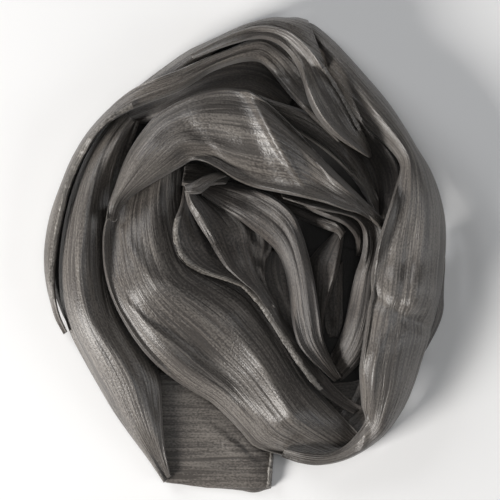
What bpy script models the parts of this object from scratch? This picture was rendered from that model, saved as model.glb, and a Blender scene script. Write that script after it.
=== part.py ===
"""A crinkled satin hijab laid down in a loose swirled heap, at its real size.

One long rectangular shawl is gathered lengthwise and wound round on itself, so what shows is a set of
stretches of the same cloth that lie over each other. Each stretch is a thin wall lofted through the
sections in its table, from its outer edge over a crown to its inner edge, with its largest folds and its
lengthwise pleats. The stretches over a stretch first press it down, as far as its room allows, and then
each is laid in turn, lowest first, and lifted clear of what it lies on. The layers that nothing shows
share one rounded solid, which rests flat on the table.

Lengths are in millimetres, +X to the right, +Y away and +Z up. The origin is under the middle.
"""

import math
from collections import namedtuple

import bpy
import numpy as np
from mathutils.bvhtree import BVHTree

MM = 0.001

# The cloth
WALL = 1.4
WALL_MOST = 3.0
PLEAT_RISE = 1.0
PLEAT_SLOPE = 0.7
LAYER_GAP = 0.45
REST_GAP = 0.35
SETTLE_MOST = 4.0
TABLE_GAP = 0.2
PRESS_MOST = 7.0
PRESS_LEAST = 7.0
SHOULDER = 2.8
HEM_THICK = 1.2
HEM_GAP = 0.35
HEM_PUCKER = 0.5

# The hidden layers
FLOOR_LAYERS = 3
LAYER_THICK = 1.4
LAYER_BULGE = 0.8
LAYER_STEP = 1.4
CORE_SPOKES = 48
CORE_RINGS = 11
CORE_RISE = 40.0
CORE_LEAST = 3.6
CORE_CLEARANCE = 0.7
HOLLOW_FLOOR = 6.0

# The map that each new layer is laid on: its cell and its half sides
CELL = 1.0
MAP_X = 152.0
MAP_Y = 176.0
HIGH = 100.0

# Satin as it shows: the lit crests, the body and the turned-in layers
CLOTH_COLOR = (0.115, 0.108, 0.100)
HEM_COLOR = (0.150, 0.142, 0.132)
HIDDEN_COLOR = (0.045, 0.041, 0.038)
CLOTH_ROUGHNESS = 0.42

Section = namedtuple("Section", "outer_x outer_y inner_x inner_y outer_z inner_z crown crown_at")
Fold = namedtuple("Fold", "start end across_start across_end height width")
Stretch = namedtuple("Stretch", "name steps pleats sections folds")
Hem = namedtuple("Hem", "name on start end edge width puckers")
Rim = namedtuple("Rim", "x y")

# The edges of a stretch that a hem can run along
OUTER, INNER, END = range(3)

# Each table below has one row for a section, in the order of the columns of Section. crown_at is the
# place of the crown across the cloth, 0 at its outer edge and 1 at its inner edge. Each row of folds
# runs from start to end along the stretch, both from 0 to 1, and has a height above the cloth, negative
# for a trough, and a width as a share of the stretch's.

TAIL_END = Stretch("tail_end", 6, 13, (
    Section(-67, -75, -55, -156, 3, 3, 8, 0.5),
    Section(-54, -79, -40, -158, 3, 3, 9, 0.5),
    Section(-36, -84, -24, -160, 3, 2, 10, 0.5),
    Section(-16, -97, -8, -161, 3, 2, 10, 0.5),
    Section(3, -117, 6, -163, 3, 2, 9, 0.5),
    Section(15, -129, 13, -163, 3, 2, 7, 0.5),
    Section(20, -133, 18, -160, 2, 2, 6, 0.5),
), (
    Fold(0.0, 0.95, 0.30, 0.45, 2.0, 0.10),
    Fold(0.05, 0.9, 0.62, 0.70, -1.6, 0.08),
))

UNDER_FOLD = Stretch("under_fold", 8, 2, (
    Section(137, 14, 122, 11, 8, 12, 20, 0.5),
    Section(138, -4, 120, -7, 4, 12, 21, 0.5),
    Section(137, -23, 118, -24, 3, 11, 21, 0.5),
    Section(136, -41, 114, -42, 3, 10, 20, 0.5),
    Section(131, -53, 111, -54, 3, 8, 17, 0.5),
    Section(124, -66, 107, -65, 3, 8, 13, 0.5),
), ())

WELL_FLOOR = Stretch("well_floor", 6, 3, (
    Section(52, -87, 50, -112, 8, 8, 13, 0.5),
    Section(63, -87, 62, -114, 8, 8, 13, 0.5),
    Section(74, -86, 74, -116, 8, 9, 14, 0.5),
    Section(85, -84, 85, -117, 10, 10, 15, 0.5),
), ())

WELL_PANEL = Stretch("well_panel", 9, 3, (
    Section(10, 2, 28, 6, 9, 9, 12, 0.4),
    Section(5, -11, 29, -8, 9, 8, 13, 0.3),
    Section(9, -27, 33, -24, 12, 8, 15, 0.3),
    Section(17, -45, 36, -42, 12, 8, 15, 0.3),
    Section(28, -63, 41, -60, 11, 8, 14, 0.3),
    Section(39, -78, 52, -75, 10, 8, 13, 0.3),
), ())

HEART_TONGUE = Stretch("heart_tongue", 7, 2, (
    Section(59, -11, 67, -4, 14, 14, 20, 0.5),
    Section(56, -24, 67, -19, 13, 13, 20, 0.5),
    Section(55, -37, 67, -34, 12, 12, 19, 0.5),
    Section(55, -48, 67, -46, 10, 10, 17, 0.5),
    Section(58, -56, 64, -56, 8, 8, 12, 0.5),
), ())

HEART_PETAL = Stretch("heart_petal", 9, 3, (
    Section(62, 17, 68, 16, 22, 22, 27, 0.5),
    Section(52, 7, 67, 7, 14, 18, 28, 0.75),
    Section(43, -4, 65, -5, 12, 16, 28, 0.75),
    Section(44, -19, 61, -19, 12, 14, 27, 0.7),
    Section(46, -33, 57, -32, 12, 12, 25, 0.6),
    Section(48, -45, 54, -44, 12, 12, 22, 0.5),
    Section(51, -54, 54, -54, 10, 10, 16, 0.5),
), ())

BACK_PANEL = Stretch("back_panel", 6, 3, (
    Section(-3, 27, 12, 20, 14, 18, 22, 0.6),
    Section(-2, 16, 19, 10, 12, 12, 22, 0.5),
    Section(0, 4, 16, 0, 12, 9, 19, 0.45),
    Section(2, -10, 14, -12, 10, 8, 16, 0.45),
    Section(8, -24, 17, -25, 8, 8, 12, 0.5),
), ())

INNER_WALL = Stretch("inner_wall", 8, 4, (
    Section(50, 120, 32, 103, 26, 12, 28, 0.1),
    Section(65, 109, 48, 94, 28, 12, 30, 0.1),
    Section(80, 94, 65, 82, 30, 12, 33, 0.1),
    Section(97, 75, 78, 67, 32, 12, 35, 0.1),
    Section(107, 57, 85, 50, 32, 12, 35, 0.1),
    Section(103, 38, 88, 34, 32, 12, 33, 0.1),
    Section(97, 19, 89, 18, 28, 14, 30, 0.2),
), (
    Fold(-0.2, 1.2, 0.62, 0.62, -12.0, 0.30),
))

INNER_TOP = Stretch("inner_top", 10, 3, (
    Section(-86, 99, -81, 90, 12, 16, 21, 0.6),
    Section(-70, 110, -61, 92, 12, 20, 32, 0.7),
    Section(-51, 120, -41, 101, 12, 20, 36, 0.7),
    Section(-35, 129, -25, 106, 12, 20, 38, 0.72),
    Section(-18, 137, -9, 107, 12, 20, 38, 0.75),
    Section(0, 140, 3, 106, 12, 20, 37, 0.78),
    Section(17, 136, 13, 102, 12, 18, 32, 0.8),
    Section(36, 118, 27, 94, 12, 13, 22, 0.8),
), (
    Fold(-0.2, 1.3, 0.28, 0.32, -24.0, 0.26),
))

INNER_PETAL = Stretch("inner_petal", 10, 3, (
    Section(9, 110, 14, 98, 24, 26, 32, 0.5),
    Section(22, 105, 27, 91, 20, 24, 41, 0.45),
    Section(37, 101, 41, 82, 18, 20, 45, 0.42),
    Section(52, 93, 55, 72, 16, 16, 46, 0.42),
    Section(66, 84, 67, 61, 14, 14, 43, 0.42),
    Section(76, 73, 77, 49, 12, 14, 32, 0.5),
    Section(84, 58, 85, 35, 14, 16, 28, 0.5),
    Section(91, 41, 92, 23, 16, 18, 26, 0.5),
), ())

LEFT_STRAND = Stretch("left_strand", 15, 7, (
    Section(-84, 101, -75, 91, 24, 22, 30, 0.5),
    Section(-99, 84, -82, 79, 18, 20, 38, 0.6),
    Section(-111, 65, -89, 58, 14, 18, 39, 0.6),
    Section(-120, 41, -92, 37, 10, 14, 38, 0.6),
    Section(-126, 14, -90, 11, 8, 10, 37, 0.55),
    Section(-128, -11, -88, -14, 8, 9, 37, 0.5),
    Section(-126, -34, -82, -38, 8, 8, 38, 0.5),
    Section(-119, -56, -71, -58, 8, 7, 38, 0.55),
    Section(-105, -82, -59, -78, 7, 6, 34, 0.6),
    Section(-92, -105, -57, -99, 5, 5, 28, 0.66),
    Section(-78, -125, -56, -120, 3, 4, 21, 0.68),
    Section(-66, -141, -54, -137, 2, 4, 13, 0.66),
    Section(-56, -156, -51, -151, 2, 3, 8, 0.5),
), (
    Fold(0.06, 0.60, 0.50, 0.40, 2.0, 0.12),
    Fold(0.12, 0.52, 0.84, 0.74, -2.2, 0.09),
))

STRAND_FOLD = Stretch("strand_fold", 9, 3, (
    Section(-88, 97, -72, 92, 9, 12, 16, 0.5),
    Section(-94, 84, -76, 80, 9, 12, 18, 0.5),
    Section(-97, 70, -82, 66, 8, 13, 19, 0.5),
    Section(-99, 55, -85, 52, 8, 13, 20, 0.5),
    Section(-101, 38, -87, 36, 8, 13, 19, 0.5),
    Section(-101, 18, -88, 16, 8, 12, 18, 0.5),
    Section(-99, 0, -86, 0, 8, 10, 16, 0.5),
), ())

OUTER_LEFT = Stretch("outer_left", 30, 4, (
    Section(75, 85, 63, 77, 16, 16, 20, 0.5),
    Section(68, 96, 52, 87, 17, 16, 25, 0.5),
    Section(59, 108, 41, 97, 18, 16, 30, 0.45),
    Section(47, 122, 31, 108, 20, 18, 35, 0.4),
    Section(34, 137, 21, 121, 21, 20, 40, 0.38),
    Section(16, 149, 11, 132, 21, 20, 44, 0.38),
    Section(-13, 140, -15, 129, 20, 20, 40, 0.4),
    Section(-47, 126, -45, 112, 16, 20, 37, 0.5),
    Section(-80, 112, -76, 100, 9, 22, 35, 0.6),
    Section(-106, 88, -99, 84, 8, 25, 34, 0.85),
    Section(-118, 70, -110, 67, 8, 23, 32, 0.85),
    Section(-127, 49, -119, 47, 8, 22, 30, 0.85),
    Section(-134, 29, -124, 27, 8, 21, 28, 0.85),
    Section(-138, 7, -128, 7, 8, 20, 26, 0.85),
    Section(-138, -12, -130, -12, 8, 19, 25, 0.85),
    Section(-134, -32, -129, -31, 8, 15, 20, 0.8),
    Section(-130, -45, -126, -43, 7, 10, 14, 0.7),
    Section(-125, -54, -122, -52, 6, 7, 9, 0.6),
), ())

TOP_ROLL = Stretch("top_roll", 15, 3, (
    Section(-37, 137, -35, 133, 18, 20, 28, 0.5),
    Section(-24, 144, -22, 138, 20, 20, 32, 0.5),
    Section(-6, 152, -5, 144, 22, 22, 36, 0.5),
    Section(12, 156, 12, 147, 23, 22, 39, 0.5),
    Section(27, 153, 23, 143, 23, 22, 42, 0.5),
    Section(38, 146, 31, 135, 23, 22, 44, 0.45),
    Section(48, 136, 37, 124, 26, 20, 45, 0.45),
    Section(56, 124, 40, 113, 31, 20, 43, 0.45),
    Section(64, 113, 44, 101, 33, 18, 41, 0.45),
    Section(71, 101, 50, 91, 32, 17, 39, 0.45),
    Section(78, 88, 60, 81, 28, 16, 35, 0.5),
    Section(84, 77, 72, 73, 21, 16, 30, 0.5),
    Section(87, 68, 83, 67, 16, 16, 24, 0.5),
), ())

BOTTOM_TURN = Stretch("bottom_turn", 9, 3, (
    Section(100, -90, 79, -84, 8, 8, 15, 0.4),
    Section(97, -104, 74, -97, 8, 8, 14, 0.4),
    Section(89, -116, 67, -106, 8, 8, 14, 0.4),
    Section(77, -127, 60, -113, 8, 8, 13, 0.4),
    Section(64, -132, 52, -119, 8, 8, 13, 0.4),
    Section(50, -134, 44, -123, 8, 8, 12, 0.4),
    Section(37, -133, 35, -125, 8, 8, 11, 0.5),
), ())

INNER_LIP_LOW = Stretch("inner_lip_low", 7, 2, (
    Section(22, 39, 26, 31, 20, 20, 24, 0.5),
    Section(39, 34, 41, 24, 20, 18, 27, 0.5),
    Section(52, 29, 52, 19, 18, 16, 27, 0.5),
    Section(63, 24, 63, 15, 18, 16, 27, 0.5),
    Section(69, 17, 65, 11, 18, 18, 24, 0.5),
), ())

INNER_LIP = Stretch("inner_lip", 11, 2, (
    Section(18, 47, 22, 38, 22, 22, 26, 0.5),
    Section(36, 43, 38, 33, 22, 22, 31, 0.5),
    Section(55, 37, 56, 26, 22, 20, 34, 0.5),
    Section(67, 31, 66, 22, 22, 20, 34, 0.5),
    Section(77, 25, 71, 18, 22, 20, 33, 0.5),
    Section(82, 17, 75, 13, 20, 18, 31, 0.5),
    Section(82, 7, 76, 6, 16, 16, 27, 0.5),
    Section(79, 0, 76, 0, 14, 14, 20, 0.5),
), ())

FRONT_BAND = Stretch("front_band", 17, 11, (
    Section(-93, 29, -43, 65, 24, 26, 33, 0.5),
    Section(-96, 20, -44, 52, 20, 26, 36, 0.45),
    Section(-97, 5, -43, 34, 16, 26, 40, 0.38),
    Section(-95, -14, -38, 14, 12, 24, 45, 0.38),
    Section(-89, -33, -29, -3, 10, 20, 50, 0.38),
    Section(-78, -53, -15, -11, 10, 17, 48, 0.34),
    Section(-63, -72, 5, -22, 10, 15, 43, 0.25),
    Section(-44, -88, 17, -37, 9, 13, 37, 0.21),
    Section(-24, -100, 29, -57, 9, 12, 36, 0.25),
    Section(-7, -116, 40, -77, 8, 13, 40, 0.40),
    Section(7, -131, 54, -96, 7, 13, 43, 0.46),
    Section(23, -136, 69, -112, 6, 13, 34, 0.45),
    Section(46, -141, 83, -127, 5, 10, 14, 0.4),
), (
    Fold(0.20, 0.74, 0.16, 0.26, 3.6, 0.06),
    Fold(0.24, 0.70, 0.34, 0.44, -3.2, 0.12),
    Fold(0.40, 0.95, 0.66, 0.58, 3.0, 0.09),
    Fold(0.30, 0.85, 0.82, 0.76, -2.4, 0.07),
))

HEM_SHEET = Stretch("hem_sheet", 19, 3, (
    Section(-42, 48, -37, 46, 32, 28, 34, 0.5),
    Section(-44, 35, -34, 38, 37, 24, 38, 0.05),
    Section(-49, 20, -31, 28, 38, 18, 39, 0.05),
    Section(-48, 7, -24, 17, 37, 14, 38, 0.05),
    Section(-41, -5, -17, 6, 36, 12, 37, 0.05),
    Section(-29, -12, -9, -3, 34, 11, 35, 0.05),
    Section(-16, -16, 0, -9, 33, 11, 34, 0.05),
    Section(-3, -21, 9, -15, 32, 11, 33, 0.05),
    Section(7, -31, 17, -25, 30, 11, 32, 0.05),
    Section(17, -46, 26, -41, 29, 11, 31, 0.05),
    Section(27, -61, 36, -56, 27, 11, 29, 0.05),
    Section(37, -76, 46, -71, 23, 10, 25, 0.05),
    Section(48, -90, 58, -85, 17, 10, 19, 0.05),
    Section(61, -101, 70, -97, 12, 9, 14, 0.1),
    Section(74, -108, 82, -104, 9, 9, 11, 0.2),
), ())

LEFT_PANEL = Stretch("left_panel", 8, 4, (
    Section(-39, 42, -29, 44, 27, 28, 31, 0.6),
    Section(-33, 30, -14, 34, 22, 20, 27, 0.4),
    Section(-27, 15, 1, 23, 18, 16, 25, 0.5),
    Section(-20, 2, 4, 8, 15, 13, 22, 0.5),
    Section(-9, -12, 8, -10, 13, 11, 19, 0.5),
    Section(5, -23, 14, -23, 12, 10, 16, 0.5),
    Section(14, -35, 21, -35, 10, 8, 13, 0.5),
), ())

LEFT_ROLL = Stretch("left_roll", 7, 2, (
    Section(-41, 44, -37, 45, 26, 26, 35, 0.5),
    Section(-39, 35, -35, 37, 24, 24, 31, 0.5),
    Section(-35, 27, -29, 29, 20, 20, 28, 0.5),
    Section(-29, 17, -24, 20, 17, 17, 24, 0.5),
    Section(-22, 7, -19, 9, 14, 14, 19, 0.5),
), ())

CENTRE_BAND = Stretch("centre_band", 16, 5, (
    Section(-27, 52, -33, 45, 24, 24, 29, 0.5),
    Section(-12, 51, -21, 35, 20, 22, 34, 0.45),
    Section(5, 47, -6, 26, 18, 20, 37, 0.45),
    Section(20, 40, 7, 16, 17, 18, 38, 0.45),
    Section(32, 30, 18, 7, 16, 16, 38, 0.5),
    Section(39, 16, 25, -4, 15, 14, 37, 0.5),
    Section(44, -1, 29, -18, 14, 13, 36, 0.5),
    Section(48, -20, 31, -34, 13, 12, 34, 0.5),
    Section(51, -39, 33, -50, 12, 12, 31, 0.5),
    Section(54, -58, 39, -65, 12, 12, 29, 0.5),
    Section(59, -70, 49, -75, 12, 12, 27, 0.5),
    Section(66, -83, 61, -86, 12, 12, 21, 0.5),
), (
    Fold(0.08, 0.70, 0.45, 0.60, -2.2, 0.10),
    Fold(0.45, 0.95, 0.30, 0.50, 2.0, 0.10),
))

CENTRE_RETURN = Stretch("centre_return", 16, 3, (
    Section(22, 47, 26, 39, 23, 23, 27, 0.5),
    Section(36, 43, 38, 35, 24, 24, 32, 0.5),
    Section(51, 39, 51, 31, 26, 26, 36, 0.5),
    Section(67, 34, 66, 28, 26, 26, 37, 0.5),
    Section(82, 30, 77, 23, 26, 24, 38, 0.5),
    Section(94, 23, 80, 16, 22, 22, 38, 0.5),
    Section(97, 8, 80, 4, 18, 18, 38, 0.5),
    Section(95, -11, 75, -14, 14, 14, 38, 0.5),
    Section(93, -30, 71, -33, 12, 10, 37, 0.5),
    Section(89, -50, 67, -50, 10, 9, 34, 0.45),
    Section(84, -65, 62, -62, 10, 9, 29, 0.4),
    Section(76, -77, 58, -70, 10, 9, 23, 0.35),
    Section(66, -86, 57, -77, 10, 9, 16, 0.4),
), ())

TUCK_PANEL = Stretch("tuck_panel", 6, 3, (
    Section(-41, 63, -43, 48, 22, 24, 29, 0.7),
    Section(-32, 63, -32, 46, 20, 24, 30, 0.7),
    Section(-21, 60, -22, 48, 18, 22, 29, 0.6),
    Section(-10, 54, -13, 49, 16, 18, 24, 0.5),
), ())

TUCK_STRIP = Stretch("tuck_strip", 7, 2, (
    Section(-41, 48, -39, 42, 26, 26, 36, 0.5),
    Section(-35, 50, -31, 42, 26, 26, 39, 0.5),
    Section(-28, 54, -24, 47, 24, 24, 38, 0.5),
    Section(-20, 57, -18, 52, 22, 22, 35, 0.5),
    Section(-13, 58, -12, 54, 20, 20, 28, 0.5),
), ())

TOP_OUTER = Stretch("top_outer", 14, 3, (
    Section(43, 162, 55, 127, 14, 24, 40, 0.5),
    Section(37, 164, 46, 134, 10, 24, 45, 0.5),
    Section(30, 164, 36, 144, 9, 26, 47, 0.5),
    Section(19, 164, 22, 152, 9, 28, 45, 0.5),
    Section(5, 161, 7, 153, 9, 28, 42, 0.55),
    Section(-10, 155, -8, 148, 9, 28, 39, 0.6),
    Section(-25, 148, -21, 139, 9, 28, 37, 0.6),
    Section(-40, 141, -35, 130, 9, 26, 35, 0.6),
    Section(-53, 132, -47, 121, 9, 24, 32, 0.6),
    Section(-64, 124, -59, 115, 9, 20, 28, 0.6),
    Section(-73, 117, -70, 111, 8, 16, 22, 0.6),
    Section(-80, 112, -78, 108, 7, 12, 16, 0.6),
), ())

OVER_BAND = Stretch("over_band", 20, 11, (
    Section(-94, 25, -88, 23, 26, 28, 31, 0.5),
    Section(-92, 36, -83, 34, 23, 32, 38, 0.5),
    Section(-88, 49, -70, 45, 20, 34, 45, 0.45),
    Section(-83, 64, -56, 53, 20, 36, 51, 0.45),
    Section(-74, 80, -44, 60, 20, 38, 54, 0.45),
    Section(-59, 97, -33, 65, 20, 36, 53, 0.45),
    Section(-39, 108, -20, 60, 20, 30, 54, 0.42),
    Section(-17, 114, 1, 48, 20, 26, 55, 0.42),
    Section(-4, 113, 22, 43, 20, 25, 57, 0.40),
    Section(6, 110, 41, 39, 20, 24, 63, 0.38),
    Section(16, 103, 49, 37, 19, 24, 58, 0.38),
    Section(29, 91, 56, 35, 18, 24, 53, 0.38),
    Section(48, 71, 67, 31, 16, 24, 50, 0.4),
    Section(67, 52, 78, 28, 14, 24, 44, 0.45),
    Section(84, 35, 86, 23, 14, 22, 37, 0.5),
    Section(95, 24, 95, 15, 14, 20, 28, 0.5),
), (
    Fold(0.25, 0.62, 0.62, 0.70, 3.0, 0.08),
    Fold(0.22, 0.50, 0.30, 0.60, -2.6, 0.12),
    Fold(0.62, 0.98, 0.30, 0.50, 3.0, 0.10),
    Fold(0.60, 0.90, 0.14, 0.26, -2.6, 0.09),
))

RIGHT_BAND = Stretch("right_band", 26, 10, (
    Section(31, 162, 40, 146, 8, 12, 20, 0.5),
    Section(46, 160, 49, 130, 7, 12, 27, 0.55),
    Section(61, 148, 56, 118, 7, 22, 36, 0.5),
    Section(75, 133, 66, 105, 8, 27, 44, 0.5),
    Section(90, 116, 78, 91, 8, 30, 50, 0.55),
    Section(103, 99, 92, 78, 8, 31, 51, 0.6),
    Section(116, 78, 105, 63, 8, 28, 53, 0.65),
    Section(129, 56, 101, 45, 8, 26, 55, 0.6),
    Section(136, 34, 95, 27, 8, 22, 56, 0.6),
    Section(138, 15, 89, 7, 9, 18, 53, 0.6),
    Section(137, -4, 86, -13, 12, 14, 52, 0.6),
    Section(134, -25, 84, -31, 14, 12, 57, 0.62),
    Section(131, -39, 82, -45, 13, 11, 52, 0.7),
    Section(127, -54, 80, -60, 12, 10, 54, 0.76),
    Section(122, -70, 78, -76, 9, 10, 52, 0.78),
    Section(116, -89, 79, -93, 7, 10, 47, 0.75),
    Section(108, -107, 80, -104, 7, 12, 41, 0.66),
    Section(99, -120, 82, -111, 7, 14, 38, 0.5),
    Section(89, -129, 78, -119, 7, 14, 33, 0.5),
    Section(76, -137, 71, -127, 6, 14, 28, 0.5),
    Section(63, -142, 62, -133, 5, 13, 24, 0.5),
    Section(49, -143, 50, -135, 4, 12, 21, 0.5),
    Section(36, -141, 37, -133, 3, 11, 18, 0.5),
    Section(25, -137, 27, -131, 3, 9, 13, 0.5),
), (
    Fold(0.05, 0.40, 0.55, 0.62, 2.4, 0.08),
    Fold(0.36, 0.66, 0.50, 0.56, -3.0, 0.09),
    Fold(0.42, 0.78, 0.25, 0.35, -2.6, 0.08),
    Fold(0.48, 0.82, 0.84, 0.72, 2.6, 0.08),
))

# The stretches from the lowest to the highest
STRETCHES = (
    TAIL_END, UNDER_FOLD, WELL_FLOOR, WELL_PANEL, HEART_TONGUE, HEART_PETAL, BACK_PANEL, INNER_WALL,
    INNER_TOP, INNER_PETAL, STRAND_FOLD, LEFT_STRAND, BOTTOM_TURN, INNER_LIP_LOW, INNER_LIP,
    FRONT_BAND, HEM_SHEET, LEFT_PANEL, LEFT_ROLL, CENTRE_RETURN, CENTRE_BAND, TUCK_PANEL,
    TUCK_STRIP, OVER_BAND, RIGHT_BAND, TOP_OUTER, OUTER_LEFT, TOP_ROLL,
)

# Where the shawl's hem shows: the stretch that it edges, the share of that edge that it takes, and the
# edge
HEMS = (
    Hem("left_hem", "outer_left", 0.50, 0.93, INNER, 4.0, 14),
    Hem("sheet_hem", "hem_sheet", 0.09, 0.86, OUTER, 4.5, 14),
    Hem("upper_right_hem", "top_roll", 0.60, 0.88, OUTER, 3.5, 6),
    Hem("tail_hem", "tail_end", 0.06, 0.94, END, 3.5, 7),
)

# The outline of the hidden layers on the table, just inside the outer stretches, counterclockwise
CORE_RIM = (
    Rim(132, 0), Rim(132, 34), Rim(124, 56), Rim(111, 78), Rim(84, 116), Rim(50, 150), Rim(26, 158),
    Rim(0, 152), Rim(-40, 134), Rim(-74, 110), Rim(-103, 84), Rim(-123, 50), Rim(-133, 14),
    Rim(-132, -22), Rim(-120, -50), Rim(-99, -76), Rim(-72, -72), Rim(-48, -74), Rim(-30, -80),
    Rim(-10, -94), Rim(8, -114), Rim(24, -132), Rim(54, -138), Rim(82, -128), Rim(104, -104),
    Rim(118, -70), Rim(128, -40),
)


def smooth_through(table, places):
    """The rows of a table at these places from 0 to 1, on a smooth curve through the rows."""
    rows = np.array(table, float)
    middles = (rows[:, 0:2] + rows[:, 2:4]) / 2
    steps = np.linalg.norm(np.diff(middles, axis=0), axis=1)
    marks = np.concatenate([[0.0], np.cumsum(steps)])
    marks /= marks[-1]
    slopes = np.gradient(rows, marks, axis=0)
    left = np.clip(np.searchsorted(marks, places, side="right") - 1, 0, len(marks) - 2)
    span = marks[left + 1] - marks[left]
    t = (places - marks[left]) / span
    t, span = t[:, None], span[:, None]
    return (
        (2 * t**3 - 3 * t**2 + 1) * rows[left]
        + (t**3 - 2 * t**2 + t) * span * slopes[left]
        + (-2 * t**3 + 3 * t**2) * rows[left + 1]
        + (t**3 - t**2) * span * slopes[left + 1]
    )


def across_in_plan(across):
    """Steps that draw together towards both edges, where the cloth turns down."""
    return 0.5 * across + 0.25 * (1 - np.cos(math.pi * across))


def section_height(plan, outer_z, inner_z, crown, crown_at):
    """The height of a section that rises steeply from each edge to a broad crown."""
    outer_side = plan < crown_at
    share = np.where(outer_side, plan / crown_at, (1 - plan) / (1 - crown_at))
    edge = np.where(outer_side, outer_z, inner_z)
    return edge + (crown - edge) * (1 - (1 - np.clip(share, 0, 1)) ** SHOULDER) ** 0.75


def fold_height(folds, along, across):
    """The largest folds, as soft ridges and troughs that fade out at both their ends."""
    height = np.zeros(np.broadcast(along, across).shape)
    for fold in folds:
        share = np.clip((along - fold.start) / (fold.end - fold.start), 0, 1)
        line = fold.across_start + (fold.across_end - fold.across_start) * share
        height += fold.height * np.sin(math.pi * share) * np.exp(-(((across - line) / fold.width) ** 2))
    return height


def surface(stretch, along, across):
    """The cloth of a stretch at a grid of places, as points."""
    rows = smooth_through(stretch.sections, along)
    outer_x, outer_y, inner_x, inner_y, outer_z, inner_z, crown, crown_at = rows.T[:, :, None]
    plan = across_in_plan(across)[None, :]
    x = outer_x + (inner_x - outer_x) * plan
    y = outer_y + (inner_y - outer_y) * plan
    z = section_height(plan, outer_z, inner_z, crown, np.clip(crown_at, 0.05, 0.95))
    z = z + fold_height(stretch.folds, along[:, None], across[None, :])
    return np.stack([x, y, z], axis=2)


def levelness(points):
    """How level the cloth lies at each point of a grid, from 1 where it is level to 0 where it is upright."""
    normals = np.cross(np.gradient(points, axis=0), np.gradient(points, axis=1))
    return np.abs(normals[:, :, 2]) / np.linalg.norm(normals, axis=2)


def pleats(cloth):
    """The rise of each point on the lengthwise pleats: crests and troughs in turn, lower where they draw close."""
    row = np.arange(cloth.shape[0])[:, None]
    column = np.arange(cloth.shape[1])[None, :]
    crest = column % 2
    uneven = 0.75 + 0.25 * np.sin(1.7 * column + 0.9 * row)
    half_pleat = np.linalg.norm(cloth[:, -1] - cloth[:, 0], axis=1) / (cloth.shape[1] - 1)
    rise = np.minimum(PLEAT_RISE, PLEAT_SLOPE * half_pleat)
    return rise[:, None] * crest * uneven


def refined(grid, factor):
    """The grid with factor times as many steps each way, straight between its points."""
    for axis in (0, 1):
        count = grid.shape[axis] - 1
        places = np.linspace(0, count, count * factor + 1)
        low = np.minimum(places.astype(int), count - 1)
        share = (places - low).reshape((-1, 1, 1) if axis == 0 else (1, -1, 1))
        grid = np.take(grid, low, axis) * (1 - share) + np.take(grid, low + 1, axis) * share
    return grid


def cells(points):
    """The map cell of each point, as row and column numbers."""
    rows = np.rint((points[..., 1] + MAP_Y) / CELL).astype(int)
    columns = np.rint((points[..., 0] + MAP_X) / CELL).astype(int)
    return rows, columns


def finest_step(grid):
    """How many times to refine a grid so that its points lie closer than the map's cells."""
    widest = max(
        np.linalg.norm(np.diff(grid[:, :, :2], axis=0), axis=2).max(),
        np.linalg.norm(np.diff(grid[:, :, :2], axis=1), axis=2).max(),
    )
    return max(2, math.ceil(1.6 * widest / CELL))


def spread(field, pick, reach=1):
    """Each cell of a map, or each point of a grid, with the highest or lowest value around it."""
    padded = np.pad(field, reach, mode="edge")
    rows, columns = field.shape
    shifted = [
        padded[i : i + rows, j : j + columns]
        for i in range(2 * reach + 1)
        for j in range(2 * reach + 1)
    ]
    return pick(shifted, axis=0)


def lift_clear(inner, heap):
    """How far each point of a wall's inner side has to rise to clear the heap so far."""
    factor = finest_step(inner)
    fine = refined(inner, factor)
    lack = spread(heap, np.max)[cells(fine)] + LAYER_GAP - fine[:, :, 2]
    steps, columns = inner.shape[0] - 1, inner.shape[1] - 1
    in_cell = np.zeros((steps, columns))
    for i in range(steps):
        band = lack[i * factor : (i + 1) * factor + 1]
        for j in range(columns):
            in_cell[i, j] = band[:, j * factor : (j + 1) * factor + 1].max()
    at_points = np.zeros(inner.shape[:2])
    for di in (0, 1):
        for dj in (0, 1):
            part = at_points[di : di + steps, dj : dj + columns]
            np.maximum(part, in_cell, out=part)
    lift = at_points
    for _ in range(3):
        padded = np.pad(lift, 1, mode="edge")
        mean = (padded[:-2, 1:-1] + padded[2:, 1:-1] + padded[1:-1, :-2] + padded[1:-1, 2:]) / 4
        lift = np.maximum(at_points, mean)
    return lift


def raise_map(outer, heap):
    """Raises the map of the heap to the outer side of a wall."""
    fine = refined(outer, finest_step(outer))
    np.maximum.at(heap, cells(fine), fine[:, :, 2])


def lower_map(inner, ceiling):
    """Lowers the map of the undersides to the inner side of a wall."""
    fine = refined(inner, finest_step(inner))
    np.minimum.at(ceiling, cells(fine), fine[:, :, 2])


def wall_object(name, outer, inner, material, collection):
    """A closed wall between two grids of points, as a mesh object."""
    rows, columns = outer.shape[:2]
    points = np.concatenate([outer.reshape(-1, 3), inner.reshape(-1, 3)]) * MM
    index = np.arange(rows * columns).reshape(rows, columns)
    under = index + rows * columns
    faces = []
    for i in range(rows - 1):
        for j in range(columns - 1):
            # Both sides are cut along the same diagonal, so that they never cross
            corners = [(i, j), (i + 1, j), (i + 1, j + 1), (i, j + 1)]
            one_way = np.linalg.norm(outer[corners[0]] - outer[corners[2]])
            other_way = np.linalg.norm(outer[corners[1]] - outer[corners[3]])
            if other_way < one_way:
                corners = corners[1:] + corners[:1]
            for three in ((0, 1, 2), (0, 2, 3)):
                faces.append(tuple(index[corners[k]] for k in three))
                faces.append(tuple(under[corners[k]] for k in reversed(three)))
    round_edge = (
        [(0, j) for j in range(columns - 1)]
        + [(i, columns - 1) for i in range(rows - 1)]
        + [(rows - 1, j) for j in range(columns - 1, 0, -1)]
        + [(i, 0) for i in range(rows - 1, 0, -1)]
    )
    for place, following in zip(round_edge, round_edge[1:] + round_edge[:1]):
        faces.append((index[place], index[following], under[following], under[place]))
    return mesh_object(name, points, faces, material, collection)


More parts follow.
